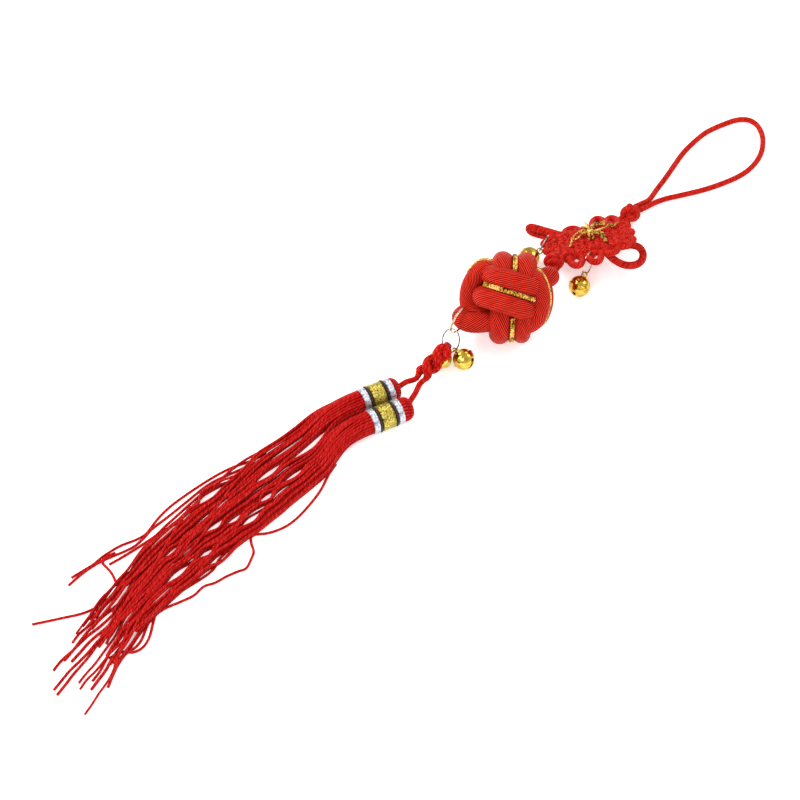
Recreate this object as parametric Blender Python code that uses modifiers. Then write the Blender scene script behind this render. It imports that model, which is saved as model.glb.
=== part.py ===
# Knotted cord pendant with bells and two tassels, lying on a table.
# The long axis runs along X, with the hanging loop at +X and the tassels' tips at -X.
# Places in the tables are in millimetres, measured from the point under the ball knot's middle.

import math
import random

import bmesh
import bpy
from mathutils import Matrix, Vector

MM = 0.001
GAP = 0.3                      # clearance kept between neighbouring pieces, mm

CORD = 2.0                     # diameter of the knotted cord
SATIN = 7.5                    # diameter of the ball's padded satin cord
BRAID = 1.6                    # diameter of the gold braid between the satin cords
BELL = 7.8                     # diameter of a bell
HEAD = 9.4                     # diameter of a tassel's head over its foil bands
STRAND = 1.3                   # thickness of a tassel strand

BALL_PLACE = (-0.4, -0.3, 15.6)    # the ball knot's middle
BALL_TIP = 42.0                # the ball's front face is tipped back from straight up, degrees
BALL_TURN = -47.0              # and turned about the vertical, degrees
RING_OVER = 12.8               # radius of a satin pair where it lies on top
RING_UNDER = 6.7               # radius of a satin pair where it dives below another
PAIR_HALF = 4.5                # from a pair's middle to each of its two cords
DIVE_START = 28.0              # degrees from the top of a pair to where it starts to dive

KNOT_MIDDLE = (45.5, 1.3, 8.4)
KNOT_ALONG = (11.6, -7.4, 0.5)     # half of the flat knot's long side
KNOT_ACROSS = (6.8, 7.8, -4.7)     # half of its short side
KNOT_THICK = 4.2
KNOT_CELLS = 12                    # ridges and dips each way over the flat knot
KNOT_HEIGHTS = (0.62, 0.85, 1.0)   # share of its thickness in a dip, on a cord and at a crossing
LOBE_CORD = 2.3                    # diameter of the cord lobes round its edge
NECK_CORD = 3.2                    # the cord is doubled at the necks
# Cord lobes round the flat knot's edge
LOBES = [
    {"out": (0, -1), "run": (1, 0), "at": (-0.55, 0.0, 0.5), "half": 0.2, "reach": 0.5, "rise": -0.4},
    {"out": (1, 0), "run": (0, 1), "at": (-0.62, 0.0, 0.62), "half": 0.21, "reach": 0.3, "rise": 0.2},
    {"out": (0, 1), "run": (1, 0), "at": (-0.62, 0.05, 0.6), "half": 0.21, "reach": 0.42, "rise": 0.4},
    {"out": (-1, 0), "run": (0, 1), "at": (-0.62, 0.0, 0.62), "half": 0.21, "reach": 0.3, "rise": -0.2},
]

# Pairs of satin cord in the ball: direction on top, direction below, shift along the pair's width
PAIRS = {
    "front": {"over": (0, 0, 1), "under": (0.954, -0.299, 0), "shift": 1.8, "front": (-36, 36), "back": (-36, 36)},
    "upright": {"over": (0.045, 1, 0), "under": (0, 0, 1), "shift": 2.2, "front": (-42, 42), "back": (-42, 42)},
    "rim": {"over": (1, 0, 0.24), "under": (0.02, -1, -0.12), "shift": 0.0, "front": (-14, 36), "back": (-6, 40)},
}
# Turned-back ends of the satin cord, in the ball's own axes
LOWER_FOLD = [(-2, -7.4, 3.7), (-8.5, -8.7, 5.2), (-13.4, -8.6, 3.6), (-15.9, -7.0, 0), (-13.3, -5.2, -4.2), (-7, -3.8, -5)]
UPPER_FOLD = [(3, 3, -3), (9.6, 5.6, -1.7), (14.4, 7.4, -3.4), (14.7, 7.6, -8.0), (10, 5.8, -10.4), (4, 3, -9.4)]

LOOP_ROUTE = [
    (74.6, 4.0, 3.0), (78, 3.7, 2.3), (82, 3.4, 1.6), (88.6, 5.2, 1.0), (95.6, 6.8, 1.0), (103, 8.8, 1.0), (110, 10.5, 1.0),
    (116.6, 11.2, 1.0), (123, 11.3, 1.0), (127.6, 10.4, 1.0), (131.8, 9.1, 1.0), (135.7, 7.6, 1.0), (138.4, 5.6, 1.0),
    (139.8, 3.0, 1.0), (139.5, -0.4, 1.0), (137.1, -4.6, 1.0), (133.7, -7.9, 1.0), (129.5, -10.6, 1.0), (124.8, -12.3, 1.0),
    (119.5, -13.0, 1.0), (114.6, -12.6, 1.0), (109.6, -11.3, 1.0), (104.3, -9.4, 1.0), (99.5, -7.3, 1.0), (95, -4.9, 1.0),
    (90.6, -2.4, 1.0), (86.4, -0.3, 1.2), (82, 0.9, 1.6), (78, 1.2, 2.3), (74.6, 1.5, 3.0)]
NEAR_EAR = [(46.3, -8.6, 12.0), (45.4, -11.6, 10.6), (45.2, -14.6, 8.8), (47.4, -17.4, 7.0), (51.5, -18.6, 6.4),
            (54.7, -17.6, 7.4), (55.2, -15.9, 9.2), (53.0, -14.0, 11.0), (50.2, -11.4, 12.2)]
FAR_EAR = [(44.4, 13.0, 1.6), (42.6, 18.8, 1.2), (40.8, 23.4, 1.2), (40.0, 25.0, 2.4), (40.4, 24.2, 3.8), (42.2, 19.6, 3.9),
           (44.6, 12.6, 4.2)]
TOP_BUTTON = (70.4, 2.5, 3.6)
LOW_BUTTON = (25.0, -0.1, 14.4)
NECKS = [[(62.5, 2.2, 4.4), (68.5, 2.4, 3.8)], [(30.4, 1.3, 12.9), (26.0, 0.1, 14.2)], [(24.6, -0.6, 14.6), (21.8, -2.0, 15.3)]]
BUTTON_SIZE = 7.0

# Rings of wire: middle, the direction that their opening faces, radius of the wire's line, wire
RINGS = {
    "link_ring": {"middle": (-17.0, 6.95, 12.0), "faces": (0.093, -0.989, -0.114), "radius": 5.36, "wire": 0.8},
    "silver_ring": {"middle": (-22.65, 6.15, 6.1), "faces": (-0.797, 0.218, 0.563), "radius": 4.2, "wire": 0.6},
    "near_bell_ring": {"middle": (36.0, -6.9, 10.3), "faces": (0.244, -0.971, 0.048), "radius": 4.4, "wire": 0.6},
    "far_bell_ring": {"middle": (34.6, 13.0, 7.6), "faces": (-0.3, 0.9, 0.3), "radius": 3.2, "wire": 0.6},
}
# Bells: middle, the ring that each hangs on, and a place beside the part of the ring that holds its eye
BELLS = {
    "near_bell": {"middle": (30.2, -8.3, 3.9), "ring": "near_bell_ring", "hung_near": (30.2, -8.3, 3.9)},
    "far_bell": {"middle": (29.0, 14.2, 3.9), "ring": "far_bell_ring", "hung_near": (29.0, 14.2, 3.9)},
    "low_bell": {"middle": (-25.0, -2.7, 4.3), "ring": "silver_ring", "hung_near": (-24.6, 1.0, 4.8)},
    "tail_bell": {"middle": (-29.75, 4.4, 3.9), "ring": "silver_ring", "hung_near": (-26.5, 4.6, 1.6)},
}
EYE_RADIUS = 1.0               # radius of the eye's wire line
EYE_WIRE = 0.6

# The tassels' cord: two limbs twisted about each other, then one leg to each head
TWIST_START = (-31.1, 1.8, 11.1)
TWIST_END = (-38.3, 3.2, 5.8)
TWIST_RADIUS = 1.45
TWIST_CORD = 2.6
LEG_SLIM = 0.74                # how much thinner the cord is pulled in its legs
BIGHT_SLIM = 0.7               # and where it passes the ring
BIGHT_NEAR = (-25.4, 9.3, 0.4) # the ring's nearest point to this is where the cord is looped on
OVER_BELL = (-26.3, 6.9, 8.3)  # where the cord crosses the bell behind it
FAR_LEG = [(-42.2, 5.0, 3.8), (-46.4, 5.9, 3.9), (-50.75, 5.46, 4.6)]
NEAR_LEG = [(-43.4, 0.9, 3.6), (-48.6, -1.0, 3.7), (-52.4, -2.2, 4.4), (-55.8, -3.42, 4.65)]

# Tassel heads: middle of the foil's lower black ring, and the way their axis points
HEADS = {
    "far_tassel": {"ring_at": (-62.2, 9.5), "side": 1},
    "near_tassel": {"ring_at": (-67.3, 0.5), "side": -1},
}
HEAD_HEIGHT = HEAD / 2         # a head rests on its foil bands
HEAD_AXIS = -19.4              # degrees from +X in the table's plane
# Foil bands from the strands' end to the cord's end: name, start and width along the head
BANDS = [
    {"name": "silver_low", "start": 0.0, "width": 2.3, "thick": 0.5},
    {"name": "black_low", "start": 2.6, "width": 0.6, "thick": 0.65},
    {"name": "gold", "start": 3.5, "width": 5.0, "thick": 0.55},
    {"name": "black_high", "start": 8.8, "width": 0.6, "thick": 0.65},
    {"name": "silver_high", "start": 9.7, "width": 2.3, "thick": 0.5},
]
HEAD_LENGTH = 14.0
# Edges of the tassels' skirt on the table: x, far edge, near edge
SKIRT = [
    {"x": -70, "far": 19.0, "near": -1.5}, {"x": -80, "far": 20.6, "near": -2.0},
    {"x": -92, "far": 21.4, "near": -2.4}, {"x": -110, "far": 23.6, "near": -3.0},
    {"x": -134, "far": 27.0, "near": -2.8}, {"x": -156, "far": 24.0, "near": -2.0},
    {"x": -177, "far": 17.6, "near": -3.6}, {"x": -195, "far": 11.4, "near": -7.6},
    {"x": -211, "far": 8.6, "near": -12.4}, {"x": -226, "far": 5.0, "near": -16.5}]
LAYERS = 3
LANES = 8
LAYER_RISE = 1.55              # from one layer of strands to the next on the table
ROOT_RISE = 2.1                # the same where they leave the head
LAYER_ENDS = [-196, -206, -218]
STEPS = 14                     # lengths of each strand
# Strands that leave the skirt: which lane of the lowest layer, and how far out they bow
STRAYS = {
    ("near_tassel", 0): [(-90, 0), (-104, -1.8), (-115, -3.9), (-124, -3.6), (-131, -0.6), (-137, -4.4), (-143, -7.2),
                         (-150, -5.6), (-158, -4.6), (-170, -1.6), (-180, 0), (-206, 0)],
    ("far_tassel", 7): [(-134, 0), (-150, 0.2), (-158, 1.6), (-167, 5.6), (-177, 8.6), (-190, 14.5)],
    ("far_tassel", 6): [(-134, 0), (-152, 0.2), (-160, 1.2), (-168, 4.0), (-177, 7.6), (-186, 11.6)],
    ("far_tassel", 5): [(-134, 0), (-176, 0), (-187, 1.6), (-196, 6.4), (-203, 11.5), (-211, 18.5)],
}


def metres(place):
    return Vector(place) * MM


def new_material(name, colour, roughness, metallic=0.0):
    material = bpy.data.materials.new(name)
    material.use_nodes = True
    shader = material.node_tree.nodes["Principled BSDF"]
    shader.inputs["Base Color"].default_value = (*colour, 1.0)
    shader.inputs["Roughness"].default_value = roughness
    shader.inputs["Metallic"].default_value = metallic
    return material


def evaluated_mesh(obj):
    depsgraph = bpy.context.evaluated_depsgraph_get()
    return bpy.data.meshes.new_from_object(obj.evaluated_get(depsgraph))


def add_object(name, mesh, material, matrix=None):
    obj = bpy.data.objects.new(name, mesh)
    mesh.materials.clear()
    mesh.materials.append(material)
    ornament.objects.link(obj)
    if matrix is not None:
        obj.matrix_world = matrix
    return obj


def from_bmesh(name, bm, material):
    mesh = bpy.data.meshes.new(name)
    bm.to_mesh(mesh)
    bm.free()
    return add_object(name, mesh, material)


def smooth_route(points, count, closed=False):
    """Even steps along a Catmull-Rom curve through the given points."""
    places = [Vector(p) for p in points]
    total = len(places)
    spans = total if closed else total - 1
    route = []
    for step in range(count):
        place = spans * step / (count if closed else count - 1)
        span = min(int(place), spans - 1)
        t = place - span
        if closed:
            a, b, c, d = (places[(span + k) % total] for k in (-1, 0, 1, 2))
        else:
            a = places[max(span - 1, 0)]
            b, c = places[span], places[span + 1]
            d = places[min(span + 2, total - 1)]
        route.append(0.5 * (2 * b + (c - a) * t + (2 * a - 5 * b + 4 * c - d) * t ** 2
                            + (3 * b - a - 3 * c + d) * t ** 3))
    return route


def tube(name, route, diameter, material, sides=6, closed=False, widths=None):
    """A cord or wire along a route in millimetres; widths scales it from point to point."""
    curve = bpy.data.curves.new(name, "CURVE")
    curve.dimensions = "3D"
    curve.bevel_depth = diameter / 2 * MM
    curve.bevel_resolution = sides // 2 - 2
    curve.use_fill_caps = not closed
    spline = curve.splines.new("POLY")
    spline.points.add(len(route) - 1)
    for index, place in enumerate(route):
        spline.points[index].co = (*metres(place), 1.0)
        if widths:
            spline.points[index].radius = widths[index]
    spline.use_cyclic_u = closed
    guide = bpy.data.objects.new(name, curve)
    ornament.objects.link(guide)
    mesh = evaluated_mesh(guide)
    bpy.data.objects.remove(guide)
    bpy.data.curves.remove(curve)
    bm = bmesh.new()
    bm.from_mesh(mesh)
    bmesh.ops.remove_doubles(bm, verts=bm.verts, dist=0.000001)
    bmesh.ops.recalc_face_normals(bm, faces=bm.faces)
    bm.to_mesh(mesh)
    bm.free()
    mesh.name = name
    return add_object(name, mesh, material)


def combine(target, tools, operation):
    """Fuse the tools with the target, or cut them out of it, and remove them."""
    for number, tool in enumerate(tools):
        step = target.modifiers.new(f"{operation.lower()}_{number}", "BOOLEAN")
        step.operation = operation
        step.object = tool
    mesh = evaluated_mesh(target)
    target.modifiers.clear()
    old = target.data
    target.data = mesh
    bpy.data.meshes.remove(old)
    for tool in tools:
        bpy.data.objects.remove(tool)
    return target


def wire_ring(name, ring, material, extra=0.0, steps=18, sides=6):
    """A round ring of wire; extra widens it, to cut its way through a cord."""
    facing = Vector(ring["faces"]).normalized()
    turn = facing.to_track_quat("Z", "Y").to_matrix()
    route = []
    for step in range(steps):
        angle = math.tau * step / steps
        spoke = turn @ Vector((math.cos(angle), math.sin(angle), 0))
        route.append(Vector(ring["middle"]) + ring["radius"] * spoke)
    return tube(name, route, ring["wire"] + extra, material, sides=sides, closed=True)


def cut_for_ring(target, ring_name):
    """Open the cord where a ring is threaded through it."""
    cutter = wire_ring("ring_way", RINGS[ring_name], red_cord, extra=2 * GAP + 0.1)
    return combine(target, [cutter], "DIFFERENCE")


def pair_frame(pair):
    over = Vector(pair["over"]).normalized()
    under = Vector(pair["under"])
    under = (under - under.dot(over) * over).normalized()
    return over, under, over.cross(under)


def pair_point(pair, degrees, side, lift=0.0):
    """A place on a pair of satin cords: it lies on top at 0 and 180 degrees and dives between."""
    over, under, across = pair_frame(pair)
    if across.dot(Vector((1, 1, 1))) < 0:
        across = -across
    from_top = abs((degrees + 90) % 180 - 90)
    dive = min(max((from_top - DIVE_START) / (90 - DIVE_START), 0.0), 1.0)
    dive = dive * dive * (3 - 2 * dive)
    radius = RING_OVER - (RING_OVER - RING_UNDER) * dive + lift
    angle = math.radians(degrees)
    return (radius * (math.cos(angle) * over + math.sin(angle) * under)
            + (pair["shift"] + side * PAIR_HALF) * across)


def ball_matrix():
    turn = Matrix.Rotation(math.radians(BALL_TURN), 4, "Z") @ Matrix.Rotation(math.radians(BALL_TIP), 4, "X")
    return Matrix.Translation(BALL_PLACE) @ turn


def build_ball():
    """Three doubled rings of satin cord, each over one neighbour and under the other."""
    place = ball_matrix()
    cords = []
    for name, pair in PAIRS.items():
        for side in (-1, 1):
            route = [place @ pair_point(pair, 360 * step / 22, side) for step in range(22)]
            cords.append(tube(f"{name}_{side}", route, SATIN, red_satin, sides=8, closed=True))
    for number, fold in enumerate((LOWER_FOLD, UPPER_FOLD)):
        route = [place @ p for p in smooth_route(fold, 9)]
        cords.append(tube(f"fold_{number}", route, SATIN - 0.3, red_satin, sides=8))
    bpy.ops.mesh.primitive_ico_sphere_add(subdivisions=2, radius=6.2 * MM, location=metres(BALL_PLACE))
    middle = bpy.context.object
    for group in middle.users_collection:
        group.objects.unlink(middle)
    middle.data.transform(middle.matrix_world)
    middle.matrix_world = Matrix.Identity(4)
    ball = add_object("ball_knot", middle.data, red_satin)
    bpy.data.objects.remove(middle)
    combine(ball, cords, "UNION")
    cut_for_ring(ball, "link_ring")
    press_flat(ball, 0.0)
    for name, pair in PAIRS.items():
        for end, turn in (("front", 0), ("back", 180)):
            low, high = pair[end]
            steps = 10
            route = []
            for step in range(steps):
                degrees = turn + low + (high - low) * step / (steps - 1)
                route.append(place @ pair_point(pair, degrees, 0, lift=2.3))
            tube(f"gold_braid_{name}_{end}", route, BRAID, gold_thread, sides=6)


def press_flat(obj, height):
    """Cut a soft piece level where it rests on the table."""
    bm = bmesh.new()
    bm.from_mesh(obj.data)
    plane = height * MM
    whole = bm.verts[:] + bm.edges[:] + bm.faces[:]
    bmesh.ops.bisect_plane(bm, geom=whole, plane_co=(0, 0, plane), plane_no=(0, 0, -1), clear_outer=True)
    rim = [edge for edge in bm.edges if edge.is_boundary]
    if rim:
        bmesh.ops.holes_fill(bm, edges=rim, sides=0)
    bm.to_mesh(obj.data)
    bm.free()


def knot_place(along, across, rise):
    """A place in the flat knot, from -1 to 1 each way, and its height off the middle plane."""
    q, p = Vector(KNOT_ALONG), Vector(KNOT_ACROSS)
    up = q.cross(p).normalized()
    return Vector(KNOT_MIDDLE) + along * q + across * p + rise * up


def build_flat_knot():
    """A flat woven knot: ridged where its cords cross, with cord lobes round its edge."""
    bm = bmesh.new()
    bmesh.ops.create_grid(bm, x_segments=KNOT_CELLS, y_segments=KNOT_CELLS, size=1.0)
    made = bmesh.ops.extrude_face_region(bm, geom=bm.faces[:])
    top = {item for item in made["geom"] if isinstance(item, bmesh.types.BMVert)}
    for vert in bm.verts:
        u, v = vert.co.x, vert.co.y
        column = round((u + 1) * KNOT_CELLS / 2)
        row = round((v + 1) * KNOT_CELLS / 2)
        on_cord = (column % 2) + (row % 2)
        height = KNOT_THICK / 2 * KNOT_HEIGHTS[on_cord]
        rise = height if vert in top else -height
        vert.co = metres(knot_place(u * 0.98, v * 0.98, rise))
    bmesh.ops.recalc_face_normals(bm, faces=bm.faces)
    knot = from_bmesh("flat_knot", bm, red_cord)
    pieces = []
    for edge in LOBES:
        out, run = edge["out"], edge["run"]
        for middle in edge["at"]:
            route = []
            for step in range(6):
                angle = math.pi * step / 5
                slide = middle + edge["half"] * math.cos(angle)
                reach = 0.86 + edge["reach"] * math.sin(angle)
                route.append(knot_place(out[0] * reach + run[0] * slide, out[1] * reach + run[1] * slide, edge["rise"]))
            pieces.append(tube("lobe", route, LOBE_CORD, red_cord, sides=6))
    pieces.append(tube("near_ear", smooth_route(NEAR_EAR, 14), CORD, red_cord, sides=6))
    pieces.append(tube("far_ear", smooth_route(FAR_EAR, 14), CORD, red_cord, sides=6))
    pieces.append(build_button("top_button", TOP_BUTTON))
    pieces.append(build_button("low_button", LOW_BUTTON))
    for neck in NECKS:
        pieces.append(tube("neck", [Vector(p) for p in neck], NECK_CORD, red_cord, sides=6))
    for piece in pieces:
        combine(knot, [piece], "UNION")
    cut_for_ring(knot, "near_bell_ring")
    cut_for_ring(knot, "far_bell_ring")
    return knot


def build_button(name, middle):
    """A round button knot, lumpy where its cord passes over itself."""
    bm = bmesh.new()
    bmesh.ops.create_uvsphere(bm, u_segments=12, v_segments=8, radius=1.0)
    for vert in bm.verts:
        way = vert.co.normalized()
        bump = math.cos(3 * math.atan2(way.y, way.x) + 2.2 * way.z) * (1 - way.z ** 2)
        radius = BUTTON_SIZE / 2 * (0.93 + 0.07 * bump)
        vert.co = metres(Vector(middle) + radius * way)
    return from_bmesh(name, bm, red_cord)


def build_gold_bow():
    """A sprig of crinkled metal thread tied at the middle of the flat knot."""
    top = KNOT_THICK / 2 + 0.95
    arms = [(-150, 8.6), (-118, 5.0), (-62, 5.4), (-20, 8.2), (14, 7.6), (48, 6.8), (84, 4.6), (128, 5.0), (166, 7.4)]
    threads = []
    for number, (degrees, reach) in enumerate(arms):
        way = math.radians(degrees)
        route = []
        for step in range(5):
            out = reach * step / 4
            bend = 0.5 * math.sin(step * 2.1 + number)
            across = Vector((math.cos(way) * out - math.sin(way) * bend, math.sin(way) * out + math.cos(way) * bend))
            rise = top + 0.7 * math.sin(math.pi * step / 4)
            route.append(knot_place(across.x / 13.8, across.y / 11.4, rise))
        threads.append(tube(f"thread_{number}", route, 0.7, gold_thread, sides=4))
    bm = bmesh.new()
    bmesh.ops.create_icosphere(bm, subdivisions=1, radius=1.25 * MM)
    bmesh.ops.translate(bm, verts=bm.verts, vec=metres(knot_place(0, 0, top + 0.5)))
    bow = from_bmesh("gold_bow", bm, gold_thread)
    return combine(bow, threads, "UNION")


def nearest_on_ring(place, ring):
    """The nearest point of a ring's wire to a place, and the way that the wire runs there."""
    facing = Vector(ring["faces"]).normalized()
    to_bell = Vector(place) - Vector(ring["middle"])
    spoke = (to_bell - to_bell.dot(facing) * facing).normalized()
    return Vector(ring["middle"]) + ring["radius"] * spoke, facing.cross(spoke)


def build_bell(name):
    """A round two-part bell with a rim, a slot at its foot and an eye on top, its origin at the eye."""
    bell = BELLS[name]
    link, run = nearest_on_ring(bell["hung_near"], RINGS[bell["ring"]])
    to_link = (link - Vector(bell["middle"])).normalized()
    reach = BELL / 2 + 0.75
    middle = link - to_link * reach
    height = max(middle.z, BELL / 2 + 0.05)
    middle = Vector((middle.x, middle.y, height))
    up = (link - middle).normalized()
    side = (run - run.dot(up) * up).normalized()
    frame = Matrix((side, up.cross(side), up)).transposed().to_4x4()
    frame.translation = metres(middle)
    bm = bmesh.new()
    bmesh.ops.create_uvsphere(bm, u_segments=14, v_segments=8, radius=BELL / 2 * MM)
    for vert in bm.verts:
        if abs(vert.co.z) < 0.1 * MM:
            vert.co.xy *= 1.05
    body = from_bmesh(name, bm, gold_metal)
    slot = bmesh.new()
    bmesh.ops.create_cube(slot, size=1.0)
    bmesh.ops.scale(slot, verts=slot.verts, vec=metres((5.4, 0.9, 3.0)))
    bmesh.ops.translate(slot, verts=slot.verts, vec=metres((0, 0, -BELL / 2)))
    slot = from_bmesh("slot", slot, gold_metal)
    combine(body, [slot], "DIFFERENCE")
    eye_ring = {"middle": (0, 0, (link - middle).length), "faces": (1, 0, 0), "radius": EYE_RADIUS, "wire": EYE_WIRE}
    eye = wire_ring("eye", eye_ring, gold_metal, steps=10, sides=6)
    combine(body, [eye], "UNION")
    body.data.transform(frame)
    body.data.transform(Matrix.Translation(-metres(link)))
    body.location = metres(link)
    return body


def twist_point(share, turn):
    """A place on one limb of the twisted part of the tassels' cord."""
    start, end = Vector(TWIST_START), Vector(TWIST_END)
    axis = (end - start).normalized()
    side = axis.cross(Vector((0, 0, 1))).normalized()
    up = side.cross(axis)
    angle = turn + math.tau * share
    return start.lerp(end, share) + TWIST_RADIUS * (math.cos(angle) * side + math.sin(angle) * up)


def build_tassel_cord():
    """One cord: up one leg, round the other limb to the silver ring, back and down the other leg."""
    ring = RINGS["silver_ring"]
    link, run = nearest_on_ring(BIGHT_NEAR, ring)
    over = Vector(OVER_BELL)
    rise = (over - link).normalized()
    across = run.cross(rise).normalized()
    if across.y < 0:
        across = -across
    clear = (ring["wire"] + TWIST_CORD * BIGHT_SLIM) / 2 + GAP + 0.2
    bight = [over + across * 1.15, link + across * clear + rise * 1.4, link + across * clear * 0.95 - rise * 0.3,
             link - rise * clear, link - across * clear * 0.95 - rise * 0.3, link - across * clear + rise * 1.4,
             over - across * 1.15]
    steps = 9
    first = [twist_point(step / (steps - 1), 0.0) for step in range(steps)]
    second = [twist_point(step / (steps - 1), math.pi) for step in range(steps)]
    points = [Vector(p) for p in reversed(FAR_LEG)] + first[::-1] + bight + second
    points += [Vector(p) for p in NEAR_LEG]
    count = 60
    route = smooth_route(points, count)
    total = len(points) - 1
    widths = []
    for step in range(count):
        place = total * step / (count - 1)
        leg = min(max(3.4 - place, 0.0), 1.0) + min(max(place - (total - 3.4), 0.0), 1.0)
        slim = min(max(4.2 - abs(place - total / 2), 0.0), 1.0)
        widths.append(1 - (1 - LEG_SLIM) * leg - (1 - BIGHT_SLIM) * slim)
    return tube("tassel_cord", route, TWIST_CORD, red_cord, sides=6, widths=widths)


def edge_at(x, edge):
    rows = SKIRT
    if x >= rows[0]["x"]:
        return rows[0][edge]
    for first, last in zip(rows, rows[1:]):
        if x >= last["x"]:
            share = (x - first["x"]) / (last["x"] - first["x"])
            share = share * share * (3 - 2 * share) * 0.4 + share * 0.6
            return first[edge] + (last[edge] - first[edge]) * share
    return rows[-1][edge]


def stray_offset(stray, x):
    """How far a stray strand bows out of its lane."""
    if x >= stray[0][0]:
        return 0.0
    for (x0, out0), (x1, out1) in zip(stray, stray[1:]):
        if x >= x1:
            share = (x - x0) / (x1 - x0)
            share = share * share * (3 - 2 * share)
            return out0 + (out1 - out0) * share
    return stray[-1][1]


def lane_place(tassel, layer, lane, x):
    """Where a strand lies on the table at x: its lane across the skirt and its layer's height."""
    far, near = edge_at(x, "far"), edge_at(x, "near")
    middle = (far + near) / 2
    low, high = (middle + 0.9, far) if HEADS[tassel]["side"] > 0 else (near, middle - 0.9)
    drift = 0.1 * math.sin(x / 21 + 1.7 * layer)
    share = (lane + 0.5 * (layer % 2) * 0.6) / (LANES - 0.7)
    y = low + (high - low) * min(max(share + drift * share * (1 - share), 0.0), 1.0)
    z = STRAND / 2 + LAYER_RISE * layer
    for below in range(layer):
        gone = LAYER_ENDS[below] - 6.5
        z -= LAYER_RISE * min(max((gone - x) / 7, 0.0), 1.0)
    return Vector((y, z))


def strand_route(tassel, layer, lane, end_x, axis, face):
    """A strand's middle line, and its width from place to place."""
    side = Vector((-axis.y, axis.x))
    root_z = HEAD_HEIGHT + (layer - (LAYERS - 1) / 2) * ROOT_RISE
    root_half = math.sqrt(max((HEAD / 2 - 1.5) ** 2 - (root_z - HEAD_HEIGHT) ** 2, 0.5))
    root_y = (lane / (LANES - 1) * 2 - 1) * root_half
    root_width = 2 * root_half / (LANES - 1) - 0.12
    stray = STRAYS.get((tassel, lane)) if layer == 0 else None
    if stray:
        end_x = stray[-1][0]
    start = Vector(face) + side * root_y
    route = [Vector((*(start + axis * 1.6), root_z)), Vector((*start, root_z))]
    widths = [root_width, root_width]
    for step in range(1, STEPS + 1):
        x = start.x + (end_x - start.x) * (step / STEPS)
        straight = start + axis * ((x - start.x) / axis.x)
        lane_y, lane_z = lane_place(tassel, layer, lane, x)
        pitch = (lane_place(tassel, layer, 1, x) - lane_place(tassel, layer, 0, x)).x
        if stray:
            lane_y += stray_offset(stray, x)
        blend = min((start.x - x) / 26, 1.0)
        blend = blend * blend * (3 - 2 * blend)
        route.append(Vector((x, straight.y + (lane_y - straight.y) * blend, root_z + (lane_z - root_z) * blend)))
        widths.append(root_width + (min(pitch - 0.2, STRAND) - root_width) * blend)
    return route, widths


def add_strand(bm, route, widths):
    """A strand with a flat underside, drawn along its route from a three-cornered face."""
    low, high = Vector((0, 0, -STRAND / 2)), Vector((0, 0, STRAND / 2))
    corners = []
    for index, place in enumerate(route):
        before = route[max(index - 1, 0)]
        after = route[min(index + 1, len(route) - 1)]
        side = Vector((0, 0, 1)).cross(after - before).normalized() * widths[index] / 2
        corners.append([metres(place - side + low), metres(place + high), metres(place + side + low)])
    face = bm.faces.new([bm.verts.new(place) for place in corners[0]])
    previous = corners[0]
    for number, section in enumerate(corners[1:]):
        made = bmesh.ops.extrude_face_region(bm, geom=[face])
        if number:
            bmesh.ops.delete(bm, geom=[face], context="FACES_ONLY")
        face = next(item for item in made["geom"] if isinstance(item, bmesh.types.BMFace))
        for vert in face.verts:
            nearest = min(range(3), key=lambda k: (vert.co - previous[k]).length)
            vert.co = section[nearest]
        previous = section


def build_tassel(name, seed):
    """A tassel's bound head and its strands, rooted in the head's lower end."""
    chance = random.Random(seed)
    head = HEADS[name]
    angle = math.radians(HEAD_AXIS)
    axis = Vector((math.cos(angle), math.sin(angle)))
    face = Vector(head["ring_at"]) - axis * BANDS[1]["start"]
    core_radius = HEAD / 2 - GAP - BANDS[1]["thick"]
    turn = Matrix.Rotation(angle, 4, "Z") @ Matrix.Rotation(math.radians(90), 4, "Y")
    place = Matrix.Translation(metres((*face, HEAD_HEIGHT))) @ turn
    profile = [(0, HEAD_LENGTH), (core_radius * 0.6, HEAD_LENGTH - 0.3), (core_radius * 0.92, HEAD_LENGTH - 1.1),
               (core_radius, HEAD_LENGTH - 2.0), (core_radius, -0.2), (0, -0.2)]
    core = turned(name, profile, 16, red_strand)
    core.data.transform(place)
    bm = bmesh.new()
    for layer in range(LAYERS):
        for lane in range(LANES):
            end_x = LAYER_ENDS[layer] + chance.uniform(-5, 5)
            add_strand(bm, *strand_route(name, layer, lane, end_x, axis, face))
    bmesh.ops.recalc_face_normals(bm, faces=bm.faces)
    strands = from_bmesh("strands", bm, red_strand)
    combine(core, [strands], "UNION")
    for band in BANDS:
        inner = core_radius + GAP
        outer = core_radius + GAP + band["thick"]
        ends = (band["start"], band["start"] + band["width"])
        profile = [(outer, ends[1]), (outer, ends[0]), (inner, ends[0]), (inner, ends[1]), (outer, ends[1])]
        metal = {"silver": silver_foil, "gold": gold_foil, "black": black_thread}[band["name"].split("_")[0]]
        ring = turned(f"{name}_{band['name']}", profile, 16, metal)
        ring.data.transform(place)


def turned(name, profile, steps, material):
    """A turned solid from its profile of radius and height, top to bottom on its outer side."""
    bm = bmesh.new()
    verts = [bm.verts.new(metres((radius, 0, height))) for radius, height in profile]
    for first, last in zip(verts, verts[1:]):
        bm.edges.new((first, last))
    obj = from_bmesh(name, bm, material)
    screw = obj.modifiers.new("turn", "SCREW")
    screw.steps = steps
    screw.render_steps = steps
    screw.use_merge_vertices = True
    screw.merge_threshold = 0.00001
    mesh = evaluated_mesh(obj)
    obj.modifiers.clear()
    obj.data = mesh
    return obj


for old in list(bpy.data.objects):
    bpy.data.objects.remove(old)
ornament = bpy.data.collections.new("tassel_ornament")
bpy.context.scene.collection.children.link(ornament)

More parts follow.
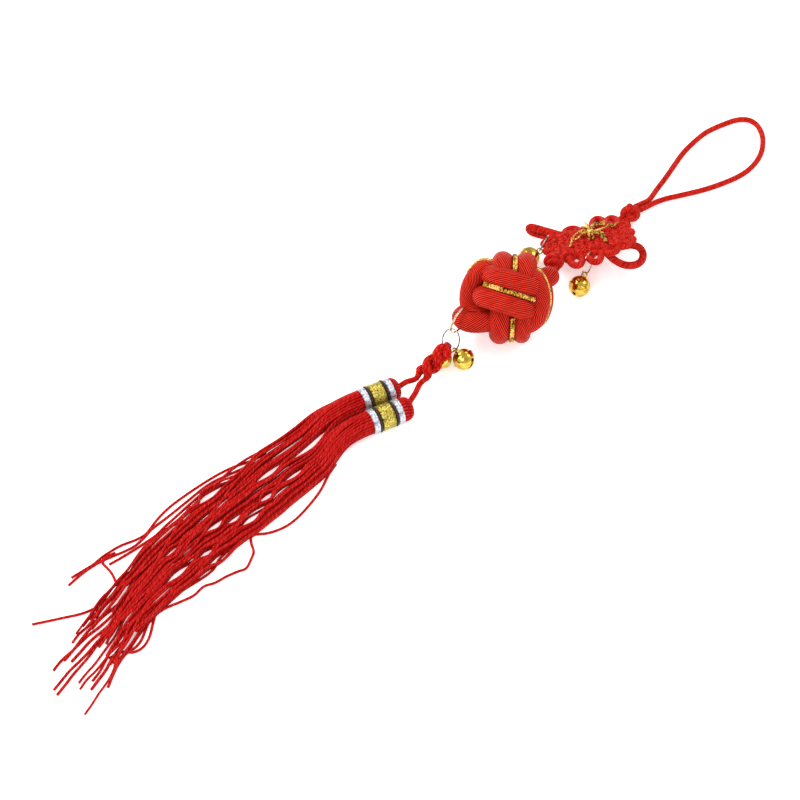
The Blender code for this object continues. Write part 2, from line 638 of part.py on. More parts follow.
red_cord = new_material("red_cord", (0.70, 0.02, 0.02), 0.55)
red_satin = new_material("red_satin", (0.62, 0.012, 0.012), 0.42)
red_strand = new_material("red_strand", (0.60, 0.008, 0.012), 0.6)
gold_thread = new_material("gold_thread", (0.83, 0.58, 0.14), 0.35, 0.9)
gold_metal = new_material("gold_metal", (0.90, 0.66, 0.16), 0.18, 1.0)
pale_metal = new_material("pale_metal", (0.86, 0.78, 0.62), 0.22, 1.0)
silver_foil = new_material("silver_foil", (0.80, 0.80, 0.84), 0.3, 0.9)
gold_foil = new_material("gold_foil", (0.78, 0.66, 0.18), 0.32, 0.9)
black_thread = new_material("black_thread", (0.02, 0.015, 0.012), 0.6)

build_ball()
build_flat_knot()
build_gold_bow()
tube("hanging_loop", smooth_route(LOOP_ROUTE, 46), CORD, red_cord, sides=6)
for ring_name, ring_sizes in RINGS.items():
    wire_ring(ring_name, ring_sizes, pale_metal)
for bell_name in BELLS:
    build_bell(bell_name)
build_tassel_cord()
build_tassel("far_tassel", 3)
build_tassel("near_tassel", 8)

# Put the middle of the whole ornament over the origin, with the table at height 0
bpy.context.view_layer.update()
solids = [obj for obj in ornament.objects if obj.type == "MESH"]
corners = [obj.matrix_world @ vert.co for obj in solids for vert in obj.data.vertices]
lows = [min(place[axis] for place in corners) for axis in range(3)]
highs = [max(place[axis] for place in corners) for axis in range(3)]
shift = Vector((-(lows[0] + highs[0]) / 2, -(lows[1] + highs[1]) / 2, -lows[2]))
for obj in solids:
    obj.location = obj.location + shift
bpy.context.view_layer.update()
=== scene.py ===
import math
import random

import bmesh
import bpy
from mathutils import Matrix, Vector


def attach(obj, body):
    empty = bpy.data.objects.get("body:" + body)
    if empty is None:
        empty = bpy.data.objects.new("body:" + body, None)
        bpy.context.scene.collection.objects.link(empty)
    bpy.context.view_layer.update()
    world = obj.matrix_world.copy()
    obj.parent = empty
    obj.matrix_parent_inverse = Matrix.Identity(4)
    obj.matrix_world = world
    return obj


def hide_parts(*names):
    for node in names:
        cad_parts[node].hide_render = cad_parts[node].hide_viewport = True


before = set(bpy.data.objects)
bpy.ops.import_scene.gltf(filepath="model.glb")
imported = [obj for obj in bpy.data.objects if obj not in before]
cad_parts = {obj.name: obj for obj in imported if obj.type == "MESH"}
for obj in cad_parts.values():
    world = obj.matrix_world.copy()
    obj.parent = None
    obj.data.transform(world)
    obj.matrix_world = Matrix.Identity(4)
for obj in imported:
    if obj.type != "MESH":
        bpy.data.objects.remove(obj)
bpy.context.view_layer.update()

mm = 0.001
tableShift = Vector((41.038, -4.053, 0.009))  # from the sizes below, in mm, to the frame


def toFrame(point):
    return (Vector(point) + tableShift) * mm


def smoothStep(share):
    share = min(max(share, 0.0), 1.0)
    return share * share * (3 - 2 * share)


def addObject(name, data):
    made = bpy.data.objects.new(name, data)
    bpy.context.collection.objects.link(made)
    return made


def meshFrom(piece, name):
    mesh = bpy.data.meshes.new(name)
    piece.to_mesh(mesh)
    piece.free()
    return mesh


def camelName(name):
    first, *others = name.split("_")
    return first + "".join(word.title() for word in others)


def viewTurn(settings):
    turn = Matrix.Rotation(math.radians(settings["turn"]), 4, "Z")
    return turn @ Matrix.Rotation(math.radians(settings["tip"]), 4, "X")


# Camera, lights and table

viewSettings = {
    "aim": (-0.01061, -0.00029, 0.0), "away": 1.5, "tip": 42.0, "turn": -47.0, "lens": 191.76,
    "table": (0.96, 0.96, 0.955), "glow": 0.42, "sky": 0.86,
    "lamps": [  # place, size, watts, colour
        ((-0.25, 0.75, 0.95), 0.6, 10.5, (1.0, 0.985, 0.96)),
        ((-0.85, -0.35, 0.75), 0.6, 3.5, (0.97, 0.985, 1.0)),
        ((0.75, -0.45, 0.8), 0.6, 3.0, (1.0, 0.99, 0.98)),
    ],
}


def setUpView(settings):
    lens = bpy.data.cameras.new("camera")
    lens.lens = settings["lens"]
    lens.sensor_width = 36.0
    lens.clip_start = 0.05
    lens.clip_end = 20.0
    camera = addObject("camera", lens)
    back = Matrix.Translation((0, 0, settings["away"]))
    camera.matrix_world = Matrix.Translation(settings["aim"]) @ viewTurn(settings) @ back
    bpy.context.scene.camera = camera
    for number, (place, size, power, colour) in enumerate(settings["lamps"]):
        lamp = bpy.data.lights.new(f"lamp{number}", "AREA")
        lamp.shape = "DISK"
        lamp.size = size
        lamp.energy = power
        lamp.color = colour
        facing = Vector(place).to_track_quat("Z", "Y").to_matrix().to_4x4()
        addObject(f"lamp{number}", lamp).matrix_world = Matrix.Translation(place) @ facing
    world = bpy.data.worlds.new("studio")
    world.use_nodes = True
    sky = world.node_tree.nodes["Background"]
    sky.inputs["Color"].default_value = (1.0, 1.0, 1.0, 1.0)
    sky.inputs["Strength"].default_value = settings["sky"]
    bpy.context.scene.world = world
    bpy.context.scene.view_settings.view_transform = "Standard"


setUpView(viewSettings)
print("camera, lamps and sky are set")


# Shader maths: a field is a number or vector that changes over a surface

class Field:
    def __init__(self, socket):
        self.socket = socket

    def __add__(self, other):
        return maths("ADD", self, other)

    def __radd__(self, other):
        return maths("ADD", other, self)

    def __sub__(self, other):
        return maths("SUBTRACT", self, other)

    def __rsub__(self, other):
        return maths("SUBTRACT", other, self)

    def __mul__(self, other):
        return maths("MULTIPLY", self, other)

    def __rmul__(self, other):
        return maths("MULTIPLY", other, self)


def maths(operation, *items):
    tree = next(item.socket.id_data for item in items if isinstance(item, Field))
    node = tree.nodes.new("ShaderNodeMath")
    node.operation = operation
    for slot, item in zip(node.inputs, items):
        if isinstance(item, Field):
            tree.links.new(item.socket, slot)
        else:
            slot.default_value = item
    return Field(node.outputs[0])


def ripple(angle):
    return maths("SINE", angle) * 0.5 + 0.5  # a wave from 0 to 1


class Finish:
    def __init__(self, name, constants):
        self.material = bpy.data.materials.new(name)
        self.material.use_nodes = True
        self.tree = self.material.node_tree
        self.shader = self.tree.nodes["Principled BSDF"]
        for socket, value in constants.items():
            self.shader.inputs[socket].default_value = value

    def node(self, kind, settings, values, out=0):
        node = self.tree.nodes.new(kind)
        for key, value in settings.items():
            if key == "stops":
                ramp = node.color_ramp
                while len(ramp.elements) < len(value):
                    ramp.elements.new(0.5)
                for element, (place, colour) in zip(ramp.elements, value):
                    element.position = place
                    element.color = (*colour, 1.0)
            else:
                setattr(node, key, value)
        for key, value in values.items():
            if isinstance(value, Field):
                self.tree.links.new(value.socket, node.inputs[key])
            else:
                node.inputs[key].default_value = value
        return Field(node.outputs[out])

    def feed(self, socket, field):
        self.tree.links.new(field.socket, self.shader.inputs[socket])

    def aroundAndAlong(self):
        # turns round the cord from 0 to 1, and millimetres along it
        route = self.node("ShaderNodeUVMap", {"uv_map": "alongCord"}, {})
        parts = self.node("ShaderNodeSeparateXYZ", {}, {0: route})
        return parts, Field(parts.socket.node.outputs[1])

    def noise(self, vector, scale, detail=3.0, rough=0.55):
        values = {"Vector": vector, "Scale": scale, "Detail": detail, "Roughness": rough}
        return self.node("ShaderNodeTexNoise", {}, values)

    def vector(self, x, y, z):
        return self.node("ShaderNodeCombineXYZ", {}, {0: x, 1: y, 2: z})

    def ramp(self, field, stops):
        return self.node("ShaderNodeValToRGB", {"stops": stops}, {0: field})

    def paint(self, shade, settings, places):
        # from dark through mid to light as the shade grows
        colours = [settings[tone] for tone in ("dark", "mid", "light")]
        self.feed("Base Color", self.ramp(shade, list(zip(places, colours))))

    def raiseBy(self, height, reach):
        bump = self.node("ShaderNodeBump", {}, {"Height": height, "Distance": reach, "Strength": 1.0})
        self.feed("Normal", bump)


# Finishes

# dark, mid and light tones: the light tone is partly painted highlight and the dark tone partly painted shade; lines
# is the share of painted shade and highlight along the plies
threadFinishes = {
    "redCord": {  # fine braided knotting cord
        "dark": (0.15, 0.0004, 0.0002), "mid": (0.38, 0.0040, 0.0022), "light": (0.66, 0.040, 0.024), "gloss": 0.04,
        "radius": 1.0, "twist": 1.9, "threads": 5, "braided": True, "depth": 0.00015, "rough": 0.50, "streak": 2.0,
        "long": 0.42, "lines": 0.16},
    "redSatin": {  # thick cord wrapped in silky threads
        "dark": (0.13, 0.0003, 0.0002), "mid": (0.39, 0.0038, 0.0020), "light": (0.78, 0.048, 0.026), "gloss": 0.03,
        "radius": 3.7, "twist": 0.22, "threads": 30, "depth": 0.00030, "rough": 0.42, "streak": 1.5, "long": 0.2,
        "lines": 0.42},
    "redStrand": {  # twisted tassel thread
        "dark": (0.24, 0.0003, 0.0003), "mid": (0.385, 0.0030, 0.0026), "light": (0.60, 0.032, 0.030), "gloss": 0.09,
        "radius": 0.5, "twist": 1.7, "threads": 2, "depth": 0.00004, "rough": 0.42, "streak": 2.6, "long": 0.14,
        "lines": 0.08},
    "redTwist": {  # the tassels' cord, brighter than their thread
        "dark": (0.20, 0.0004, 0.0003), "mid": (0.42, 0.0042, 0.0026), "light": (0.70, 0.046, 0.028), "gloss": 0.06,
        "radius": 0.6, "twist": 1.7, "threads": 2, "depth": 0.00004, "rough": 0.45, "streak": 2.4, "long": 0.16,
        "lines": 0.08},
}


def threadFinish(name, settings):
    finish = Finish(name, {"Roughness": settings["rough"], "Specular IOR Level": settings["gloss"],
                           "Specular Tint": (1.0, 0.5, 0.4, 1.0)})
    around, along = finish.aroundAndAlong()
    angle = around * math.tau + along * settings["twist"]
    radius = settings["radius"]
    onThread = finish.vector(maths("COSINE", angle) * radius, maths("SINE", angle) * radius, along * settings["long"])
    streak = finish.noise(onThread, settings["streak"], 4.0, 0.66)
    patch = finish.noise(finish.vector(maths("COSINE", angle), maths("SINE", angle), along * 0.05), 1.4, 2.0)
    ridge = ripple(angle * settings["threads"])
    if settings.get("braided"):
        ridge = maths("MAXIMUM", ridge, ripple((around * math.tau - along * settings["twist"]) * settings["threads"]))
    lines = settings["lines"]
    # the ply ridges lighten the crests and darken the grooves: painted shade and highlight along the plies; the
    # streaks and patches are uneven thread colour and, where they reach the light tone, painted sheen
    shade = streak * (0.84 - lines) + patch * 0.16 + ridge * lines
    finish.paint(shade, settings, (0.36, 0.50, 0.66))
    finish.feed("Roughness", streak * 0.25 + (settings["rough"] - 0.12))
    finish.raiseBy(ridge * 0.6 + streak * 0.9, settings["depth"])
    return finish.material


metalFinishes = {
    "goldThread": {  # flat metal thread plaited into a braid; its near-black and bright specks are painted dark gaps and painted glints
        "dark": (0.045, 0.011, 0.002), "mid": (0.60, 0.32, 0.030), "light": (1.0, 0.70, 0.20),
        "grain": 1500.0, "rough": 0.34, "spread": 0.30, "depth": 0.00030, "metal": 0.9},
    "goldMetal": {  # plated bell
        "dark": (0.40, 0.22, 0.022), "mid": (0.58, 0.38, 0.050), "light": (0.68, 0.52, 0.095),
        "grain": 420.0, "rough": 0.17, "spread": 0.14, "depth": 0.00004, "metal": 1.0},
    "paleMetal": {  # plated wire
        "dark": (0.10, 0.095, 0.085), "mid": (0.27, 0.26, 0.23), "light": (0.46, 0.44, 0.40),
        "grain": 900.0, "rough": 0.20, "spread": 0.15, "depth": 0.00001, "metal": 1.0},
    "linkMetal": {  # gold-plated split ring
        "dark": (0.36, 0.21, 0.11), "mid": (0.66, 0.48, 0.31), "light": (0.86, 0.74, 0.58),
        "grain": 900.0, "rough": 0.20, "spread": 0.15, "depth": 0.00001, "metal": 1.0},
}


def metalFinish(name, settings):
    finish = Finish(name, {"Metallic": settings["metal"], "Roughness": settings["rough"]})
    place = finish.node("ShaderNodeTexCoord", {}, {}, out=3)
    cloud = finish.noise(place, settings["grain"], 3.0, 0.6)
    broadMottle = finish.noise(place, settings["grain"] * 0.17, 2.0)
    # for the gold thread the light and dark specks are painted glints and painted shade between the threads; for the
    # bells and wire they are random uneven tone
    shade = cloud * 0.6 + broadMottle * 0.4
    finish.paint(shade, settings, (0.41, 0.5, 0.58))
    rough = cloud * settings["spread"] + (settings["rough"] - settings["spread"] * 0.5)
    finish.feed("Roughness", maths("MAXIMUM", rough, 0.05))
    finish.raiseBy(cloud, settings["depth"])
    return finish.material


foilFinishes = {
    "silverFoil": {"dark": (0.20, 0.21, 0.25), "mid": (0.46, 0.48, 0.54), "light": (0.85, 0.85, 0.90)},
    "goldFoil": {"dark": (0.11, 0.070, 0.005), "mid": (0.38, 0.29, 0.034), "light": (0.85, 0.72, 0.20)},
}


foilPitch = 0.34  # mm from turn to turn


def foilFinish(name, settings):
    # metal thread wound round the head: fine turns, with painted glints in small random cells and a little painted
    # shade between the turns
    finish = Finish(name, {"Metallic": 0.82, "Roughness": 0.3})
    around, along = finish.aroundAndAlong()
    turns = ripple((along + around * foilPitch) * (math.tau / foilPitch))
    cells = finish.vector(around * 58.0, along * 2.4, 0.0)
    flake = finish.node("ShaderNodeTexVoronoi", {"feature": "F1"}, {"Vector": cells, "Scale": 1.0}, out=1)
    glint = finish.node("ShaderNodeSeparateXYZ", {}, {0: flake})
    fleck = finish.noise(finish.vector(around * 40.0, along * 1.8, 1.7), 1.0, 2.0, 0.6)
    # glint cells are painted glints, turns a little painted shade between windings, flecks vary the tone at random
    shade = glint * 0.42 + fleck * 0.46 + turns * 0.12
    finish.paint(shade, settings, (0.22, 0.50, 0.80))
    finish.feed("Roughness", glint * 0.25 + 0.2)
    finish.raiseBy(turns * 0.5 + fleck * 0.8, 0.00010)
    return finish.material


def blackThreadFinish(name):
    finish = Finish(name, {"Roughness": 0.55, "Specular IOR Level": 0.4})
    around, along = finish.aroundAndAlong()
    turns = ripple(around * (math.tau * 52) + along * 3.0)  # 52 threads round the head
    fuzz = finish.noise(finish.vector(around * 40.0, along * 3.0, 0.0), 1.0, 3.0)
    stops = [(0.25, (0.006, 0.004, 0.003)), (0.75, (0.05, 0.03, 0.018))]
    # lighter on each thread and darker between threads: painted shade between the turns; the fuzz varies the tone at
    # random
    finish.feed("Base Color", finish.ramp(turns * 0.5 + fuzz * 0.5, stops))
    finish.raiseBy(turns * 0.7 + fuzz * 0.3, 0.0001)
    return finish.material


def tableFinish(name, colour, glow):
    # a white table lit a little from below, so that shadows fade
    finish = Finish(name, {"Roughness": 0.9, "Specular IOR Level": 0.1,
                           "Emission Color": (1.0, 1.0, 1.0, 1.0), "Emission Strength": glow})
    place = finish.node("ShaderNodeTexCoord", {}, {}, out=3)
    cloud = finish.noise(place, 5.0, 2.0)
    paler = tuple(min(part * 1.02, 1.0) for part in colour)
    finish.feed("Base Color", finish.ramp(cloud, [(0.35, colour), (0.65, paler)]))
    return finish.material


redCord, redSatin, redStrand, redTwist = (threadFinish(*item) for item in threadFinishes.items())
goldThread, goldMetal, paleMetal, linkMetal = (metalFinish(*item) for item in metalFinishes.items())
silverFoil, goldFoil = (foilFinish(*item) for item in foilFinishes.items())
blackThread = blackThreadFinish("blackThread")
print("finishes are mixed")


# Cords: a ring of points is drawn out along a route

def smoothRoute(points, step, closed=False):
    # even steps of about that length along a smooth curve through the points
    places = [Vector(point) for point in points]
    total = len(places)
    spans = total if closed else total - 1
    fine = []
    for span in range(spans):
        near = [span + k for k in (-1, 0, 1, 2)]
        a, b, c, d = (places[k % total if closed else min(max(k, 0), total - 1)] for k in near)
        for part in range(12):
            t = part / 12
            square = (2 * a - 5 * b + 4 * c - d) * t ** 2
            fine.append(0.5 * (2 * b + (c - a) * t + square + (3 * b - a - 3 * c + d) * t ** 3))
    fine.append(fine[0].copy() if closed else places[-1].copy())
    reach = [0.0]
    for first, last in zip(fine, fine[1:]):
        reach.append(reach[-1] + (last - first).length)
    count = max(round(reach[-1] / step), 3)
    route, at = [], 0
    for number in range(count if closed else count + 1):
        want = reach[-1] * number / count
        while at < len(fine) - 2 and reach[at + 1] < want:
            at += 1
        span = reach[at + 1] - reach[at]
        route.append(fine[at].lerp(fine[at + 1], (want - reach[at]) / span if span else 0.0))
    return route


def ringPlaces(route, closed=False, turn=0.0):
    # a frame at each point of the route that turns as little as it can
    count = len(route)
    ways = []
    for number in range(count):
        before = route[number - 1] if closed or number else route[0]
        after = route[(number + 1) % count] if closed or number < count - 1 else route[-1]
        ways.append((after - before).normalized())
    side = ways[0].orthogonal().normalized()
    sides = [side]
    for before, after in zip(ways, ways[1:]):
        side = before.rotation_difference(after) @ side
        side = (side - side.dot(after) * after).normalized()
        sides.append(side)
    extra = 0.0
    if closed:
        last = ways[-1].rotation_difference(ways[0]) @ sides[-1]
        extra = math.atan2(last.cross(sides[0]).dot(ways[0]), last.dot(sides[0]))
    places = []
    for number, (point, way, side) in enumerate(zip(route, ways, sides)):
        angle = extra * number / count + turn
        side = Matrix.Rotation(angle, 3, way) @ side
        place = Matrix((side, way.cross(side), way)).transposed().to_4x4()
        place.translation = point
        places.append(place)
    return places


def loftRings(piece, places, radii, sides, closed=False, along=None, flat=1.0, offset=0.0):
    # piece gets a tube through the places, in mm, with its turns and length in a UV map
    def ringEdges(ring):
        return [edge for k, vert in enumerate(ring) for edge in vert.link_edges
                if edge.other_vert(vert) == ring[(k + 1) % sides]]

    bm = bmesh.new()
    ring = bmesh.ops.create_circle(bm, segments=sides, radius=1.0)["verts"]
    angles = [math.tau * k / sides for k in range(sides)]
    shape = [Vector((math.cos(angle), flat * math.sin(angle), 0)) for angle in angles]
    if along is None:
        along = [offset]
        for first, last in zip(places, places[1:]):
            along.append(along[-1] + (last.translation - first.translation).length)
    spot = {}
    rows = [ring]
    for number, (place, radius) in enumerate(zip(places, radii)):
        if number:
            made = bmesh.ops.extrude_edge_only(bm, edges=ringEdges(ring))["geom"]
            fresh = {item for item in made if isinstance(item, bmesh.types.BMVert)}
            ring = [next(edge.other_vert(vert) for edge in vert.link_edges if edge.other_vert(vert) in fresh)
                    for vert in ring]
            rows.append(ring)
        for k, vert in enumerate(ring):
            vert.co = toFrame(place @ (shape[k] * radius))
            spot[vert] = (number, k)
    if closed:
        bmesh.ops.bridge_loops(bm, edges=ringEdges(rows[0]) + ringEdges(rows[-1]))
    else:
        for row in (rows[0], rows[-1]):
            bmesh.ops.contextual_create(bm, geom=ringEdges(row))
    uv = bm.loops.layers.uv.new("alongCord")
    whole = along[-1] + ((places[0].translation - places[-1].translation).length if closed else 0.0)
    for face in bm.faces:
        spots = [spot[loop.vert] for loop in face.loops]
        seam = {k for number, k in spots} >= {0, sides - 1} and len(spots) == 4
        joint = closed and {number for number, k in spots} >= {0, len(places) - 1}
        for loop, (number, k) in zip(face.loops, spots):
            u = 1.0 if seam and k == 0 else k / sides
            v = whole if joint and number == 0 else along[number]
            loop[uv].uv = (u, v)
    bmesh.ops.recalc_face_normals(bm, faces=bm.faces)
    carrier = meshFrom(bm, "drawn")
    piece.from_mesh(carrier)
    bpy.data.meshes.remove(carrier)


def drawCord(piece, route, radius, sides=8, closed=False, rounded=True,
             radiusAt=lambda share: 1.0, turn=0.0, flat=1.0, offset=0.0):
    places = ringPlaces(route, closed, turn)
    radii = [radius * radiusAt(number / (len(route) - 1)) for number in range(len(route))]
    if rounded and not closed:
        for share in (0.75, 0.25):  # blunt ends, a little rounded
            places.insert(0, places[0] @ Matrix.Translation((0, 0, -0.22 * radii[0])))
            places.append(places[-1] @ Matrix.Translation((0, 0, 0.22 * radii[-1])))
            radii.insert(0, radii[0] * share)
            radii.append(radii[-1] * share)
    loftRings(piece, places, radii, sides, closed, flat=flat, offset=offset)


def finishPiece(name, piece, finish, nodes, body="root"):
    for vert in piece.verts:  # what lies on the table is pressed flat there
        vert.co.z = max(vert.co.z, 0.00002)
    mesh = meshFrom(piece, name)
    mesh.materials.append(finish)
    mesh.polygons.foreach_set("use_smooth", [True] * len(mesh.polygons))
    made = addObject(name, mesh)
    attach(made, body)
    if nodes:
        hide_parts(*nodes)
    print(f"{name}: {len(mesh.polygons)} faces")
    return made


def addCore(piece, middle, radius, subdivisions):
    core = bmesh.ops.create_icosphere(piece, subdivisions=subdivisions, radius=radius * mm)["verts"]
    bmesh.ops.translate(piece, verts=core, vec=toFrame(middle))


# The hanging loop is the free cord, so it comes first

loopSettings = {
    "diameter": 2.0,
    "route": [
        (74.6, 4, 3), (78, 3.7, 2.3), (82, 3.4, 1.6), (88.6, 5.2, 1), (95.6, 6.8, 1), (103, 8.8, 1),
        (110, 10.5, 1), (116.6, 11.2, 1), (123, 11.3, 1), (127.6, 10.4, 1), (131.8, 9.1, 1), (135.7, 7.6, 1),
        (138.4, 5.6, 1), (139.8, 3, 1), (139.5, -0.4, 1), (137.1, -4.6, 1), (133.7, -7.9, 1), (129.5, -10.6, 1),
        (124.8, -12.3, 1), (119.5, -13, 1), (114.6, -12.6, 1), (109.6, -11.3, 1), (104.3, -9.4, 1),
        (99.5, -7.3, 1), (95, -4.9, 1), (90.6, -2.4, 1), (86.4, -0.3, 1.2), (82, 0.9, 1.6), (78, 1.2, 2.3),
        (74.6, 1.5, 3)],
}


def buildLoop(settings):
    piece = bmesh.new()
    route = smoothRoute(settings["route"], 0.9)
    drawCord(piece, route, settings["diameter"] / 2, sides=12, rounded=False)
    made = finishPiece("hangingLoop", piece, redCord, ["hanging_loop"])


buildLoop(loopSettings)


# The ball knot: doubled satin cords, each pair over one neighbour and under the other

ballSettings = {
    "place": (-0.4, -0.3, 15.6), "core": 6.2, "satin": 7.8, "over": 12.7, "under": 6.5, "half": 4.1, "dive": 28.0,
    "pairs": {  # braids: from where on the round, from and to, sideways, above the cords' middles
        "front": {
            "over": (0, 0, 1), "under": (0.954, -0.299, 0), "shift": 1.8, "halves": {1: (3.9, 4.2)},
            "braids": [(0, -38, 38, 0.0, 2.6), (180, -36, 36, 0.0, 2.6)],
            "dives": {1: ((10, 12), (28, 28)), -1: ((26, 18), (28, 28))}},
        "upright": {
            "over": (0.045, 1, 0), "under": (0, 0, 1), "shift": 2.2, "halves": {1: (4.0, 3.5), -1: (4.2, 4.2)},
            "braids": [(0, -40, 52, 0.0, 2.6), (180, -56, 40, 0.0, 2.6)], "slim": {1: (1.0, 0.82)}},
        "rim": {
            "over": (1, 0, 0.24), "under": (0.02, -1, -0.12), "shift": 0.4, "lean": 22,
            "braids": [(0, -44, 34, 0.36, 3.3), (180, 36, 74, 0.75, 3.75)],
            "slim": {1: (1.0, 0.92), -1: (0.88, 0.88)}},
    },
    "folds": [
        [(-2, -7.4, 3.7), (-8.5, -8.7, 5.2), (-13.4, -8.6, 3.6), (-15.9, -7.0, 0), (-13.3, -5.2, -4.2),
            (-7, -3.8, -5)],
        [(3, 3, -3), (9.6, 5.6, -1.7), (14.4, 7.4, -3.4), (14.7, 7.6, -8.0), (10, 5.8, -10.4), (4, 3, -9.4)]],
    "braidWide": 0.62, "braidThread": 0.62, "braidPitch": 2.5, "braidDip": 0.22,
}


def pairPoint(settings, pair, degrees, side, lift=0.0):
    over = Vector(pair["over"]).normalized()
    under = Vector(pair["under"])
    under = (under - under.dot(over) * over).normalized()
    across = over.cross(under)
    if across.dot(Vector((1, 1, 1))) < 0:
        across = -across
    back = 0.5 - 0.5 * math.cos(math.radians(degrees))  # 0 at the pair's first end and 1 at its second
    fromTop = (degrees - pair.get("lean", 0) * back + 90) % 180 - 90
    starts = pair.get("dives", {}).get(side, ((settings["dive"],) * 2,) * 2)[round(back)]
    start = 36 if lift else starts[fromTop > 0]
    dive = smoothStep((abs(fromTop) - start) / (90 - start))
    radius = settings["over"] - (settings["over"] - settings["under"]) * dive + lift
    first, second = pair.get("halves", {}).get(side, (settings["half"],) * 2)
    half = first + (second - first) * back
    angle = math.radians(degrees)
    return radius * (math.cos(angle) * over + math.sin(angle) * under) + (pair["shift"] + side * half) * across


def buildBall(settings):
    place = Matrix.Translation(settings["place"]) @ viewTurn(viewSettings)  # as it faces the camera
    piece = bmesh.new()
    for pair in settings["pairs"].values():
        for side in (-1, 1):
            points = [place @ pairPoint(settings, pair, 5 * step, side) for step in range(72)]
            first, second = pair.get("slim", {}).get(side, (1.0, 1.0))
            drawCord(piece, smoothRoute(points, 0.8, closed=True), settings["satin"] / 2, sides=32, closed=True,
                     radiusAt=lambda share: first + (second - first) * (0.5 - 0.5 * math.cos(math.tau * share)))
    for fold in settings["folds"]:
        route = smoothRoute([place @ Vector(point) for point in fold], 0.9)
        drawCord(piece, route, (settings["satin"] - 0.3) / 2, sides=32)
    addCore(piece, settings["place"], settings["core"], 3)
    finishPiece("ballKnot", piece, redSatin, ["ball_knot"])
    for name, pair in settings["pairs"].items():
        for end, (start, low, high, side, lift) in zip(("front", "back"), pair["braids"]):
            turns = [start + low + (high - low) * step / 12 for step in range(13)]
            points = [place @ pairPoint(settings, pair, degrees, side, lift) for degrees in turns]
            plaitBraid(camelName(f"braid_{name}_{end}"), points, settings, f"gold_braid_{name}_{end}")


def plaitBraid(name, points, settings, node):
    # three threads plaited: each swings across and dips under the others in turn
    piece = bmesh.new()
    middle = Vector(settings["place"])
    braidStep = 0.25
    places = ringPlaces(smoothRoute(points, braidStep))
    for thread in range(3):
        line = []
        for number, place in enumerate(places):
            way = place.to_3x3().col[2]
            out = place.translation - middle
            out = (out - out.dot(way) * way).normalized()
            phase = math.tau * (number * braidStep / settings["braidPitch"] + thread / 3)
            across = way.cross(out) * settings["braidWide"] * math.sin(phase)
            line.append(place.translation + across + out * settings["braidDip"] * math.sin(2 * phase))
        drawCord(piece, line, settings["braidThread"] / 2, sides=7)
    finishPiece(name, piece, goldThread, [node])


buildBall(ballSettings)


# The flat woven knot with its lobes, ears, buttons and necks, all of one cord

knotSettings = {
    "middle": (45.5, 1.3, 8.4), "along": (11.6, -7.4, 0.5), "across": (6.8, 7.8, -4.7),
    "rows": 9, "columns": 11, "cord": 2.35, "weave": 1.0, "lobe": 1.28, "neck": 0.95,
    "lobes": [  # way out, way along the edge, rise, then where, half width and reach of each
        ((0, -1), (1, 0), -0.4, [(-0.47, 0.19, 0.78), (0.03, 0.19, 0.82), (0.5, 0.2, 0.35)]),
        ((1, 0), (0, 1), 0.2, [(-0.62, 0.2, 0.3), (0.0, 0.2, 0.34), (0.62, 0.2, 0.3)]),
        ((0, 1), (1, 0), 0.4, [(-0.34, 0.21, 0.42), (0.42, 0.2, 0.78), (0.78, 0.18, 0.6)]),
        ((-1, 0), (0, 1), -0.2, [(-0.62, 0.2, 0.3), (0.0, 0.2, 0.3), (0.62, 0.2, 0.3)])],
    "nearEar": [
        (43.6, -7.6, 11.8), (44.2, -12, 9.6), (46.2, -15.2, 7.6), (49, -17.4, 6.8), (52.4, -17.9, 6.4),
        (55.4, -16.4, 7), (55.9, -13.9, 8.4), (53.5, -11.6, 9.8), (48.9, -8.4, 11.4)],
    "farEar": [
        (44.4, 13, 1.6), (42.6, 18.8, 1.2), (40.8, 23.4, 1.2), (40, 25, 2.4), (40.4, 24.2, 3.8), (42.2, 19.6, 3.9),
        (44.6, 12.6, 4.2)],
    "ear": 2.8, "buttons": [(70.4, 2.5, 3.6), (25.0, -0.1, 14.4)], "button": 7.0,
    "necks": [  # from, to, and how far apart their two cords are
        [(62.5, 2.2, 4.4), (68.5, 2.4, 3.8), 1.9], [(71.4, 2.65, 3.5), (75.0, 2.75, 2.92), 2.4],
        [(30.4, 1.3, 12.9), (26.0, 0.1, 14.2), 1.9], [(24.2, -0.7, 14.7), (19.6, -2.9, 15.1), 1.9]],
}


def knotUp(settings):
    return Vector(settings["along"]).cross(Vector(settings["across"])).normalized()


def knotPlace(along, across, rise, settings=knotSettings):
    flat = Vector(settings["middle"]) + along * Vector(settings["along"]) + across * Vector(settings["across"])
    return flat + rise * knotUp(settings)


